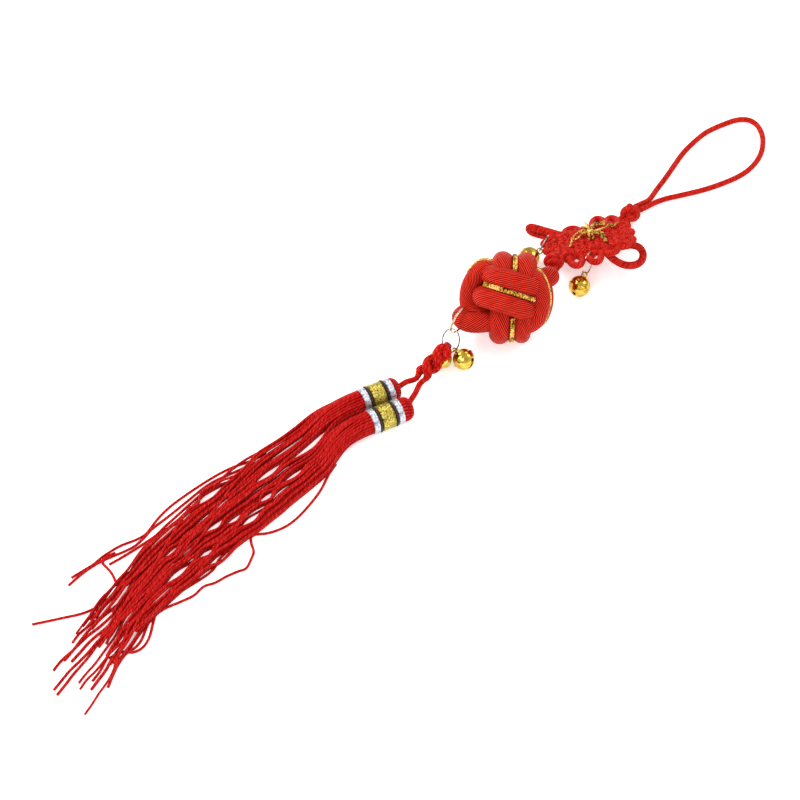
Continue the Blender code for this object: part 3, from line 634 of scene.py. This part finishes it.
def buildFlatKnot(settings):
    chance = random.Random(5)
    piece = bmesh.new()
    rows, columns = settings["rows"], settings["columns"]
    rowAt = [-0.88 + 1.76 * k / (rows - 1) + chance.uniform(-0.035, 0.035) for k in range(rows)]
    columnAt = [-0.90 + 1.80 * k / (columns - 1) + chance.uniform(-0.03, 0.03) for k in range(columns)]
    for lines, crossings, swap in ((rowAt, columnAt, False), (columnAt, rowAt, True)):
        points = []
        for k, line in enumerate(lines):
            run = []
            for i, crossing in enumerate(crossings):
                over = (1 if (i + k) % 2 else -1) * (-1 if swap else 1)
                lift = settings["weave"] * over + chance.uniform(-0.3, 0.3)
                run.append((crossing, line + chance.uniform(-0.03, 0.03), lift))
            over = 0.11 + chance.uniform(-0.02, 0.03)
            run.insert(0, (crossings[0] - over * 0.6, line, 0.0))
            run.append((crossings[-1] + over * 0.6, line, 0.0))
            if k % 2:
                run.reverse()
            if k < len(lines) - 1:  # the cord turns back into the next line
                end = run[-1][0]
                run.append((end + (over if end > 0 else -over) * 0.6, (line + lines[k + 1]) / 2, 0.0))
            points += run
        placed = [knotPlace(b, a, lift) if swap else knotPlace(a, b, lift) for a, b, lift in points]
        drawCord(piece, smoothRoute(placed, 0.5), settings["cord"] / 2, sides=10)
    for out, run, rise, lobes in settings["lobes"]:
        for middle, half, reach in lobes:
            bends = [(0.86 + reach * math.sin(math.pi * step / 6), middle + half * math.cos(math.pi * step / 6))
                     for step in range(7)]
            points = [knotPlace(out[0] * away + run[0] * slide, out[1] * away + run[1] * slide, rise)
                      for away, slide in [(0.62, middle + half), *bends, (0.62, middle - half)]]
            drawCord(piece, smoothRoute(points, 0.6), settings["lobe"], sides=12, offset=40 * middle)
    for ear in ("nearEar", "farEar"):
        drawCord(piece, smoothRoute(settings[ear], 0.7), settings["ear"] / 2, sides=12)
    for number, middle in enumerate(settings["buttons"]):
        drawButton(piece, middle, settings["button"], number)
    for first, last, apart in settings["necks"]:
        way = (Vector(last) - Vector(first)).normalized()
        side = way.cross(Vector((0, 0, 1))).normalized() * apart / 2
        for sign in (-1, 1):
            ends = [Vector(first) + side * sign, Vector(last) + side * sign]
            drawCord(piece, smoothRoute(ends, 0.7), settings["neck"], sides=10)
    finishPiece("flatKnot", piece, redCord, ["flat_knot"])


def drawButton(piece, middle, size, number):
    # a button knot: three turns of cord, woven over and under as they go round
    cord = 2.2
    ball = size / 2 - cord / 2
    points = []
    for step in range(96):
        angle = math.tau * step / 96
        tall = math.radians(56) * math.cos(4 * angle)
        out = ball + 0.42 * math.sin(8 * angle)
        turn = 3 * angle + 0.5 * number
        spot = Vector((math.sin(tall), math.cos(tall) * math.cos(turn), math.cos(tall) * math.sin(turn)))
        points.append(Vector(middle) + spot * out)
    drawCord(piece, smoothRoute(points, 0.5, closed=True), cord / 2, sides=12, closed=True)
    addCore(piece, middle, size / 2 - 1.0, 2)


buildFlatKnot(knotSettings)


# Gold sprig over the flat knot

sprigSettings = {
    "arms": [  # along and across the knot
        [(0.07, 0.05), (-0.1, 0.13), (-0.28, 0.08), (-0.42, -0.19), (-0.54, -0.62)],
        [(0.03, 0.11), (-0.17, -0.05), (-0.34, -0.17)], [(0.06, 0.2), (-0.01, 0.6), (-0.1, 0.73)],
        [(0.08, 0.24), (0.07, 0.62), (0.06, 1.04)], [(0.11, 0.22), (0.24, 0.59), (0.4, 0.73), (0.59, 0.79)],
        [(0.12, 0.16), (0.27, 0.4), (0.42, 0.59), (0.52, 0.56)],
        [(0.2, 0.22), (0.43, 0.07), (0.59, 0.21), (0.68, 0.44), (0.74, 0.28), (0.85, 0.44)],
        [(0.11, 0.1), (0.28, 0), (0.38, -0.34), (0.41, -0.82)], [(0.14, 0.01), (0.28, -0.29), (0.38, -0.65)],
        [(0.1, -0.03), (0.12, -0.36)], [(0.05, 0), (0.04, -0.36)], [(0.02, 0.16), (-0.12, 0.34), (-0.2, 0.3)]],
    "unit": (13.8, 11.4), "middle": (0.09, 0.11), "top": 2.75, "thread": 0.30, "crimp": 0.28, "strands": 2, "tie": 7,
}


def buildSprig(settings):
    chance = random.Random(11)
    piece = bmesh.new()
    long, wide = settings["unit"]  # mm to one along and one across
    for arm in settings["arms"]:
        for strand in range(settings["strands"]):
            phase = chance.uniform(0, math.tau)
            shift = Vector((chance.uniform(-0.03, 0.03), chance.uniform(-0.04, 0.04), 0))
            line = smoothRoute([Vector((a * long, b * wide, 0)) + shift * 13 for a, b in arm], 0.7)
            points = []
            for step, spot in enumerate(line):
                bend = settings["crimp"] * Vector((math.cos(step * 1.9 + phase), math.sin(step * 2.3 + phase)))
                share = step / (len(line) - 1)
                arch = 0.9 * math.sin(math.pi * min(share * 1.3, 1.0))
                rise = settings["top"] + arch + 0.25 * math.cos(step * 2.6 + phase)
                points.append(knotPlace((spot.x + bend.x) / long, (spot.y + bend.y) / wide, rise))
            drawCord(piece, smoothRoute(points, 0.35), settings["thread"], sides=6, flat=0.7, turn=phase)
    for number in range(settings["tie"]):  # turns of thread in the middle
        angle = math.tau * number / settings["tie"]
        tilt = chance.uniform(0.5, 1.0)
        points = []
        for step in range(12):
            turn = math.tau * step / 12
            x = 1.1 * math.cos(turn) * math.cos(angle) - 0.5 * math.sin(turn) * math.sin(angle)
            y = 1.1 * math.cos(turn) * math.sin(angle) + 0.5 * math.sin(turn) * math.cos(angle)
            along, across = settings["middle"]
            rise = settings["top"] + 0.75 + 0.8 * tilt * math.sin(turn)
            points.append(knotPlace(along + x / long, across + y / wide, rise))
        drawCord(piece, smoothRoute(points, 0.4, closed=True), 0.27, sides=6, closed=True)
    finishPiece("goldSprig", piece, goldThread, ["gold_bow"])


buildSprig(sprigSettings)


# Wire rings

ringSettings = {
    "link_ring": {"middle": (-17.0, 6.95, 12.0), "faces": (0.093, -0.989, -0.114), "radius": 5.36, "wire": 0.8,
                  "coils": 2},
    "silver_ring": {"middle": (-22.65, 6.15, 6.1), "faces": (-0.797, 0.218, 0.563), "radius": 4.2, "wire": 0.6},
    "near_bell_ring": {"middle": (36.0, -6.9, 10.3), "faces": (0.244, -0.971, 0.048), "radius": 4.4, "wire": 0.6},
    "far_bell_ring": {"middle": (34.6, 13.0, 7.6), "faces": (-0.3, 0.9, 0.3), "radius": 3.2, "wire": 0.6},
}


def ringRoute(ring, coils=1, spread=0.0, steps=72):
    facing = Vector(ring["faces"]).normalized()
    turn = facing.to_track_quat("Z", "Y").to_matrix()
    route = []
    for step in range(steps * coils + (coils > 1)):
        angle = math.tau * step / steps
        lift = spread * (step / (steps * coils) - 0.5)
        spoke = Vector((ring["radius"] * math.cos(angle), ring["radius"] * math.sin(angle), lift))
        route.append(Vector(ring["middle"]) + turn @ spoke)
    return route


def buildRings(rings):
    for name, ring in rings.items():
        piece = bmesh.new()
        if "coils" in ring:  # a split ring: one wire wound twice
            drawCord(piece, ringRoute(ring, ring["coils"], ring["wire"] * 0.9), ring["wire"] * 0.27, sides=10)
        else:
            drawCord(piece, ringRoute(ring), ring["wire"] * 0.44, sides=10, closed=True)
        metal = linkMetal if name in ("link_ring", "near_bell_ring") else paleMetal
        finishPiece(camelName(name), piece, metal, [name])


buildRings(ringSettings)


# Round bells: a hollow shell of two halves, a slot with round ends, an eye and a pellet

bellSettings = {
    "size": 7.8, "wall": 0.35, "seam": 1.05, "slotLong": 5.2, "slotWide": 0.75, "slotDeep": 3.6,
    "pellet": 1.3, "eye": 1.0, "eyeWire": 0.6,
    "bells": {
        "near_bell": {"middle": (30.2, -8.3, 3.9), "ring": "near_bell_ring"},
        "far_bell": {"middle": (29.0, 14.2, 3.9), "ring": "far_bell_ring"},
        "low_bell": {"middle": (-25.0, -2.7, 4.3), "ring": "silver_ring", "hungNear": (-24.6, 1.0, 4.8)},
        "tail_bell": {"middle": (-29.75, 4.4, 3.9), "ring": "silver_ring", "hungNear": (-26.5, 4.6, 1.6),
                      "body": "root"},
    },
}


def nearestOnRing(point, ring):
    facing = Vector(ring["faces"]).normalized()
    toPoint = Vector(point) - Vector(ring["middle"])
    spoke = (toPoint - toPoint.dot(facing) * facing).normalized()
    return Vector(ring["middle"]) + ring["radius"] * spoke, facing.cross(spoke)


def bellPlace(bell, size):
    link, run = nearestOnRing(bell.get("hungNear", bell["middle"]), ringSettings[bell["ring"]])
    middle = link - (link - Vector(bell["middle"])).normalized() * (size / 2 + 0.75)
    middle.z = max(middle.z, size / 2 + 0.05)
    up = (link - middle).normalized()
    side = (run - run.dot(up) * up).normalized()
    place = Matrix((side, up.cross(side), up)).transposed().to_4x4()
    place.translation = middle
    return place, (link - middle).length


def turnProfile(piece, place, profile, sides):
    # the profile, of radius and height in mm, is turned about the place's own upright
    places = [place @ Matrix.Translation((0, 0, height)) for radius, height in profile]
    along = [0.0]
    for (r0, h0), (r1, h1) in zip(profile, profile[1:]):
        along.append(along[-1] + math.hypot(r1 - r0, h1 - h0))
    loftRings(piece, places, [max(radius, 0.01) for radius, height in profile], sides, along=along)


def buildBell(name, bell, settings):
    place, reach = bellPlace(bell, settings["size"])
    outer = settings["size"] / 2
    inner = outer - settings["wall"]
    profile = []
    for step in range(25):  # outside, from the foot to the crown
        angle = -math.pi / 2 + math.pi * step / 24
        seam = 1 + (settings["seam"] - 1) * math.exp(-(angle / 0.07) ** 2)
        profile.append((outer * math.cos(angle) * seam, outer * math.sin(angle)))
        if step in (11, 12):
            profile.append((outer * (settings["seam"] if step == 12 else 1.0), 0.28 if step == 12 else -0.28))
    shell = bmesh.new()
    turnProfile(shell, place, sorted(profile, key=lambda spot: spot[1]), 48)
    inside = bmesh.new()
    angles = [-math.pi / 2 + math.pi * step / 16 for step in range(17)]
    turnProfile(inside, place, [(inner * math.cos(angle), inner * math.sin(angle)) for angle in angles], 32)
    slot = bmesh.new()
    half = settings["slotLong"] / 2
    wide, deep = settings["slotWide"] * mm, settings["slotDeep"] * mm
    cube = bmesh.ops.create_cube(slot, size=1.0)["verts"]
    bmesh.ops.scale(slot, verts=cube, vec=(half * 2 * mm, wide, deep))
    for sign in (-1, 1):
        hole = bmesh.ops.create_cone(slot, cap_ends=True, segments=20, radius1=wide, radius2=wide, depth=deep)
        bmesh.ops.translate(slot, verts=hole["verts"], vec=(sign * half * 0.86 * mm, 0, 0))
    bmesh.ops.translate(slot, verts=slot.verts, vec=(0, 0, -outer * mm))
    framePlace = place.copy()
    framePlace.translation = toFrame(place.translation)
    bmesh.ops.transform(slot, matrix=framePlace, verts=slot.verts)
    parts = {label: addObject(label, meshFrom(part, label))
             for label, part in (("shell", shell), ("inside", inside), ("slot", slot))}
    for tool in ("inside", "slot"):
        cut = parts["shell"].modifiers.new(tool, "BOOLEAN")
        cut.operation = "DIFFERENCE"
        cut.solver = "EXACT"
        cut.use_self = True
        cut.object = parts[tool]
    bpy.context.view_layer.update()
    cutShell = parts["shell"].evaluated_get(bpy.context.evaluated_depsgraph_get())
    mesh = bpy.data.meshes.new_from_object(cutShell)
    piece = bmesh.new()
    piece.from_mesh(mesh)
    for part in parts.values():
        bpy.data.objects.remove(part)
    eye = {"middle": place @ Vector((0, 0, reach)), "faces": place.to_3x3().col[0], "radius": settings["eye"]}
    drawCord(piece, ringRoute(eye, steps=36), settings["eyeWire"] / 2, sides=10, closed=True)
    turnProfile(piece, place, [(0.0, outer - 0.3), (1.05, outer - 0.25), (0.9, outer + 0.12), (0.0, outer + 0.2)], 24)
    title, body = camelName(name), bell.get("body", name)
    made = finishPiece(title, piece, goldMetal, [name], body)
    made.data.set_sharp_from_angle(angle=math.radians(38))
    pellet = bmesh.new()
    ball = bmesh.ops.create_uvsphere(pellet, u_segments=16, v_segments=10, radius=settings["pellet"] * mm)["verts"]
    bmesh.ops.translate(pellet, verts=ball, vec=toFrame(place @ Vector((0.2, 0, -inner + 1.4))))
    finishPiece(title + "Pellet", pellet, paleMetal, [], body)


for bellName, bellFacts in bellSettings["bells"].items():
    buildBell(bellName, bellFacts, bellSettings)


# The tassels' cord: one leg up, round the other limb to the ring, and down the other leg

tailCordSettings = {
    "start": (-30.8, 1.8, 10.6), "end": (-40.0, 3.1, 5.0), "radius": 1.5,
    "cord": 3.5, "core": 0.78, "legSlim": 0.60, "bightSlim": 0.56,
    "bightNear": (-24.9, 6.9, 2.6), "overBell": (-28.2, 4.5, 8.5),
    "farLeg": [(-42.8, 4.2, 3.8), (-46.8, 5.4, 4.2), (-50.9, 5.5, 4.6)],
    "nearLeg": [(-43.6, 1.6, 3.6), (-48.2, -0.4, 3.9), (-52.4, -2.0, 4.5), (-55.8, -3.42, 4.65)],
    "plies": 6, "ply": 0.36, "plyOut": 0.66, "plyTurn": 0.16,  # shares of the cord's radius, turns for each mm
}


def twistPoint(settings, share, turn):
    start, end = Vector(settings["start"]), Vector(settings["end"])
    axis = (end - start).normalized()
    side = axis.cross(Vector((0, 0, 1))).normalized()
    up = side.cross(axis)
    angle = turn + math.tau * share
    spoke = math.cos(angle) * side + math.sin(angle) * up
    return start.lerp(end, share) + settings["radius"] * (0.95 + 0.35 * share) * spoke


def buildTailCord(settings):
    ring = ringSettings["silver_ring"]
    link, run = nearestOnRing(settings["bightNear"], ring)
    over = Vector(settings["overBell"])
    rise = (over - link).normalized()
    across = run.cross(rise).normalized()
    if across.y < 0:
        across = -across
    clear = (ring["wire"] + settings["cord"] * settings["bightSlim"]) / 2 + 0.5
    bight = [over + across * 1.15, link + across * clear + rise * 1.4, link + across * clear * 0.95 - rise * 0.3,
             link - rise * clear,
             link - across * clear * 0.95 - rise * 0.3, link - across * clear + rise * 1.4, over - across * 1.15]
    first = [twistPoint(settings, step / 8, 0.0) for step in range(9)]
    second = [twistPoint(settings, step / 8, math.pi) for step in range(9)]
    route = smoothRoute(settings["farLeg"][::-1] + first[::-1] + bight + second + settings["nearLeg"], 0.5)

    def width(share):  # full in the twist, slimmer in the legs and round the ring
        at = route[round(share * (len(route) - 1))]
        leg = smoothStep((settings["end"][0] + 0.6 - at.x) / 2.4)
        slim = smoothStep((at.x - settings["start"][0] - 0.6) / 2.0)
        return 1 - (1 - settings["legSlim"]) * leg - (1 - settings["bightSlim"]) * slim

    piece = bmesh.new()
    places = ringPlaces(route)
    widths = [settings["cord"] / 2 * width(number / (len(route) - 1)) for number in range(len(route))]
    for ply in range(settings["plies"]):
        line = []
        for number, (place, radius) in enumerate(zip(places, widths)):
            angle = math.tau * (ply / settings["plies"] + settings["plyTurn"] * number * 0.5 / max(radius, 1.0))
            line.append(place @ (Vector((math.cos(angle), math.sin(angle), 0)) * radius * settings["plyOut"]))
        drawCord(piece, line, settings["cord"] / 2 * settings["ply"], radiusAt=width, offset=37 * ply)
    drawCord(piece, route, settings["cord"] / 2 * settings["core"], sides=14, radiusAt=width)
    finishPiece("tasselCord", piece, redTwist, ["tassel_cord"])


buildTailCord(tailCordSettings)


# Tassels: bound heads and their strands

tasselSettings = {
    "head": 9.4, "axis": -19.4, "core": 3.75, "inner": 2.9,
    "heads": {
        "far_tassel": {"ringAt": (-62.2, 9.5), "side": 1, "cap": 14.6, "seed": 3},
        "near_tassel": {"ringAt": (-67.3, 0.5), "side": -1, "cap": 16.2, "seed": 8}},
    "bands": [  # name, start, width, thickness
        ("silver_low", 0.0, 2.3, 0.5), ("black_low", 2.6, 0.6, 0.65), ("gold", 3.5, 5.0, 0.55),
        ("black_high", 8.8, 0.6, 0.65), ("silver_high", 9.7, 2.3, 0.5)],
    "strand": 1.05, "layers": 3, "lanes": 12, "rise": 1.05, "sinks": (-186, 26), "slitOpen": 0.72,
    "skirt": [  # x, then y of the far and the near edge
        (-70, 19, -1.5), (-80, 20.6, -2), (-92, 21.4, -2.4), (-110, 23.2, -3), (-122, 22.9, -3.4),
        (-136, 22.8, -2.8), (-150, 22, -2.4), (-162, 20.8, -2.2), (-177, 17.2, -2.8), (-187, 14.6, -4.4),
        (-199, 11.4, -7.6), (-211, 8.6, -12.2), (-226, 5, -16.5)],
    "slits": [  # where the table shows between strands: x, y, half length, half width
        (-87.7, 11, 8.5, 0.55), (-115.9, 22, 6.6, 0.4), (-109.1, 13, 4.2, 0.4), (-103.4, 6.2, 3.8, 0.35),
        (-77.5, 3.8, 2.4, 0.3), (-117.5, 5.9, 2.2, 0.6), (-127.7, 3.2, 3.2, 0.6), (-129.9, 20.9, 4.8, 0.4),
        (-131.9, 7, 2.2, 0.3), (-138.8, 9.5, 2.5, 0.35), (-149.2, 3.4, 2.4, 0.7), (-157.2, 12.3, 2.3, 0.4),
        (-162.1, 4.4, 4, 0.5), (-147, -1, 4, 0.5)],
    "tips": [
        (-219.3, 4.7), (-214.1, 4.8), (-212.5, 3.1), (-225.1, -0.8), (-225.7, -3.8), (-217.1, -5), (-219, -7.4),
        (-213.6, -7.5), (-216.3, -10.3), (-225.1, -16.1), (-210.6, -12), (-206.7, 8.7), (-192.3, 12.9)],
    "strays": {  # strands that leave the skirt, as they lie on the table
        "near_tassel": [
            [(-89.2, -0.8), (-94.1, -2.2), (-102.5, -5.5), (-112.9, -7.6), (-119.8, -7.9), (-125, -6.6),
             (-128.7, -4.6), (-131, -2.6), (-133.1, -2.5), (-135, -4.6), (-136.9, -7.5), (-139.8, -9.2),
             (-143.9, -10.8), (-146.8, -9.7), (-151.1, -8.4), (-155.8, -7.5), (-159.4, -5.9), (-164.5, -6.2),
             (-169.8, -4.8), (-176.5, -2.9), (-184, -3.5), (-196, -7)],
            [(-128, 0.6), (-134.4, 0.1), (-141.7, -0.7), (-147.5, -1.4), (-151.8, -3), (-157, -3), (-163, -2.2),
             (-170, -1.4)],
            [(-164, 1), (-173.6, 0.2), (-177.2, -1.3), (-181.9, -4.4), (-187.7, -8.2), (-192.3, -9.6),
             (-195.9, -8.6), (-198.2, -5.8), (-203, -4.7)],
            [(-170, -0.4), (-179.6, -2), (-185.5, -4.6), (-190.1, -7), (-193.7, -7.8), (-197.5, -7.4),
             (-204, -9.3), (-211.8, -13.2)]],
        "far_tassel": [
            [(-102.2, 20.4), (-108.9, 22.2), (-114.3, 24.4), (-121.8, 26.1), (-131.9, 27.2), (-141.8, 27.6),
             (-149.3, 26.7), (-156, 25), (-160.5, 25.6), (-166.2, 27.6), (-173, 28.5), (-178, 28.4), (-182, 28.9),
             (-187.2, 29.6)],
            [(-107.5, 20), (-115.9, 22.5), (-122.6, 24.4), (-128.4, 25.1), (-137.7, 25), (-146.9, 24.9),
             (-153.4, 25), (-158, 24.2), (-162.7, 23.9), (-167.2, 24.9), (-171.5, 26.3), (-175.4, 27.4),
             (-178.6, 27.9), (-183.4, 28.2), (-190.2, 27.9)],
            [(-146, 20.6), (-153, 21.8), (-159.5, 22.3), (-164.2, 22.8), (-169.4, 23.5), (-174.4, 24.4)],
            [(-169.5, 26.6), (-173.4, 27.6), (-175.6, 26.4), (-176, 24), (-176.8, 20.6), (-179, 16.2)],
            [(-150, 19), (-162, 17.5), (-174.4, 15.6), (-180.4, 14.8), (-186.7, 13.8), (-194.6, 15.3),
             (-202.2, 19.6), (-210.4, 24.6)]]},
    "stray": 0.50, "tangle": 0.24,
    "crossings": {  # tassel, layer and lane, then from x, to x and the shift
        ("far_tassel", 2, 9): (-104, -150, -0.34), ("far_tassel", 2, 6): (-112, -160, -0.38),
        ("far_tassel", 2, 4): (-118, -170, -0.3), ("near_tassel", 2, 9): (-110, -168, -0.3),
        ("near_tassel", 2, 3): (-120, -176, 0.22), ("far_tassel", 2, 11): (-128, -176, -0.42)},
}


bandFinishes = {
    "silver": (silverFoil, "silver_foil"), "gold": (goldFoil, "gold_foil"), "black": (blackThread, "black_thread")}


def skirtEdges(x):
    rows = tasselSettings["skirt"]
    if x >= rows[0][0]:
        return rows[0][1:]
    for (x0, far0, near0), (x1, far1, near1) in zip(rows, rows[1:]):
        if x >= x1:
            share = (x - x0) / (x1 - x0)
            share = smoothStep(share) * 0.4 + share * 0.6
            return far0 + (far1 - far0) * share, near0 + (near1 - near0) * share
    return rows[-1][1:]


def skirtShare(name, share):
    # one tassel's lanes, as a share of the whole skirt from its near to its far edge
    low, high = (0.525, 0.975) if name == "far_tassel" else (0.025, 0.475)
    return low + (high - low) * share


def openSlits(x, y, z, shareNow):
    for slitX, slitY, half, wide in tasselSettings["slits"]:
        reach = (x - slitX) / (half * 2.0)
        if abs(reach) >= 1:
            continue
        far, near = skirtEdges(slitX)
        slitShare = (slitY - near) / (far - near)
        farNow, nearNow = skirtEdges(x)
        line = nearNow + (farNow - nearNow) * slitShare
        side = 1 if shareNow > slitShare else -1
        shape = (1 - reach * reach) ** 1.5
        gap = (wide + tasselSettings["slitOpen"] + (0.45 * z if side < 0 else 0.0)) * shape
        away = max((y - line) * side, 0.0)
        y = line + side * math.sqrt(away * away + gap * gap)
    return y


def strandRoute(name, layer, lane, end, tip, chance, axis, face):
    settings = tasselSettings
    side = Vector((-axis.y, axis.x))
    around = math.pi * (1 - (lane + 0.5) / settings["lanes"])  # the outer layers root on a half circle each
    rootZ = settings["head"] / 2 + (layer - 1) * settings["core"] * math.sin(around) + chance.uniform(-0.15, 0.15)
    rootY = (settings["core"] if layer != 1 else settings["inner"]) * math.cos(around)
    laneShare = (lane + 0.5 * (layer % 2)) / (settings["lanes"] - 0.5)
    waves = [(chance.uniform(0.25, 0.75), chance.uniform(13, 24), chance.uniform(0, math.tau)) for k in range(2)]
    cross = settings["crossings"].get((name, layer, lane))
    loose = random.Random(settings["heads"][name]["seed"] * 100 + layer * 20 + lane)  # near the tips strands cross
    swerve, swerveAt = loose.uniform(-1, 1) * settings["tangle"], loose.uniform(-164, -186)
    start = Vector(face) + side * rootY
    points = [Vector((*(start + axis * 2.0), rootZ)), Vector((*start, rootZ))]
    steps = 34
    for step in range(1, steps + 1):
        x = start.x + (end - start.x) * step / steps
        share = skirtShare(name, laneShare)
        if cross:
            share += cross[2] * smoothStep((cross[0] - x) / (cross[0] - cross[1]))
        share = min(max(share + swerve * smoothStep((swerveAt - x) / 20), 0.01), 0.99)
        far, near = skirtEdges(x)
        grow = smoothStep((start.x - x) / 40)
        drift = sum(size * math.sin(x / length + phase) for size, length, phase in waves) * grow
        inside = min(share, 1 - share) * (far - near)
        y = near + (far - near) * share + max(min(drift, inside), -inside)
        low = smoothStep((settings["sinks"][0] - x) / settings["sinks"][1])
        onTop = (0.35 if cross else 0.0) * (1 - low)
        z = settings["strand"] / 2 + settings["rise"] * layer * (1 - 0.72 * low) + onTop
        y = openSlits(x, y, z, share)
        if tip:
            farTip, nearTip = skirtEdges(tip[0])
            aside = tip[1] - (nearTip + (farTip - nearTip) * share)
            y += aside * smoothStep((-180 - x) / (-180 - tip[0]))
        spread = smoothStep((start.x - x) / 26)
        straight = start + axis * ((x - start.x) / axis.x)
        points.append((x, straight.y + (y - straight.y) * spread, rootZ + (z - rootZ) * spread))
    return smoothRoute(points, 2.0)


def buildTassel(name, settings):
    head = settings["heads"][name]
    chance = random.Random(head["seed"])
    angle = math.radians(settings["axis"])
    axis = Vector((math.cos(angle), math.sin(angle)))
    face = Vector(head["ringAt"]) - axis * settings["bands"][1][1]
    height = settings["head"] / 2
    turn = Matrix.Rotation(angle, 4, "Z") @ Matrix.Rotation(math.radians(90), 4, "Y")
    place = Matrix.Translation((*face, height)) @ turn
    piece = bmesh.new()
    longest = {}
    order = sorted(settings["tips"], key=lambda spot: spot[1])
    mine = order[len(order) // 2:] if head["side"] > 0 else order[:len(order) // 2]
    for number, tip in enumerate(mine):
        lane = round(number * (settings["lanes"] - 1) / (len(mine) - 1))
        longest[((number + 1) % settings["layers"], lane)] = tip
    for layer in range(settings["layers"]):
        for lane in range(settings["lanes"]):
            tip = longest.get((layer, lane))
            end = tip[0] if tip else chance.uniform(-176, -205)
            route = strandRoute(name, layer, lane, end, tip, chance, axis, face)
            thick = settings["strand"] / 2 * chance.uniform(0.82, 1.06)
            drawCord(piece, route, thick, sides=7, turn=chance.uniform(0, 6), offset=chance.uniform(0, 900))
    for route in settings["strays"][name]:
        points = [(x, y, settings["stray"] + 0.02) for x, y in route]
        drawCord(piece, smoothRoute(points, 1.2), settings["stray"], sides=7)
    core, cap = settings["core"], head["cap"]
    profile = [(0, -0.4), (3.1, -0.4), (3.5, 0.2), (core, 1.0), (core, 12.2),
               (3.4, cap - 2), (2.6, cap - 1.2), (0, cap - 0.7)]
    turnProfile(piece, place, profile, 32)
    for number in range(22):  # the yarn folded over the head's top
        around = math.tau * number / 22
        spots = [(3.7, 11.6), (3.9, 12.5), (3.75, cap - 1.8), (3.1, cap - 0.8), (2.0, cap - 0.2), (0.9, cap)]
        points = []
        for k, (radius, up) in enumerate(spots):
            turned = around + 0.1 * k
            points.append(place @ Vector((radius * math.cos(turned), radius * math.sin(turned), up)))
        drawCord(piece, smoothRoute(points, 0.5), 0.5, sides=8)
    finishPiece(camelName(name), piece, redStrand, [name])
    inner = core + 0.3
    for band, start, width, thick in settings["bands"]:
        wound, slot = bandFinishes[band.split("_")[0]]
        outer = inner + thick
        edge = min(0.18, width / 3)
        profile = [(inner, start), (outer - edge, start), (outer, start + edge)]
        rises = [start + edge + (width - 2 * edge) * k / 8 for k in range(1, 8)]
        profile += [(outer + 0.03 * math.sin(k * 1.9), rise) for k, rise in enumerate(rises, 1)]
        profile += [(outer, start + width - edge), (outer - edge, start + width), (inner, start + width)]
        ring = bmesh.new()
        turnProfile(ring, place, profile, 64)
        finishPiece(camelName(f"{name}_{band}"), ring, wound, [f"{name}_{band}"])


for tasselName in tasselSettings["heads"]:
    buildTassel(tasselName, tasselSettings)


# Table

def buildTable(settings):
    top = bmesh.new()
    bmesh.ops.create_grid(top, x_segments=4, y_segments=4, size=3.0)
    bmesh.ops.translate(top, verts=top.verts, vec=(0, 0, -0.00002))
    mesh = meshFrom(top, "table")
    mesh.materials.append(tableFinish("tablePaint", settings["table"], settings["glow"]))
    addObject("table", mesh)


buildTable(viewSettings)
print("all pieces are built")
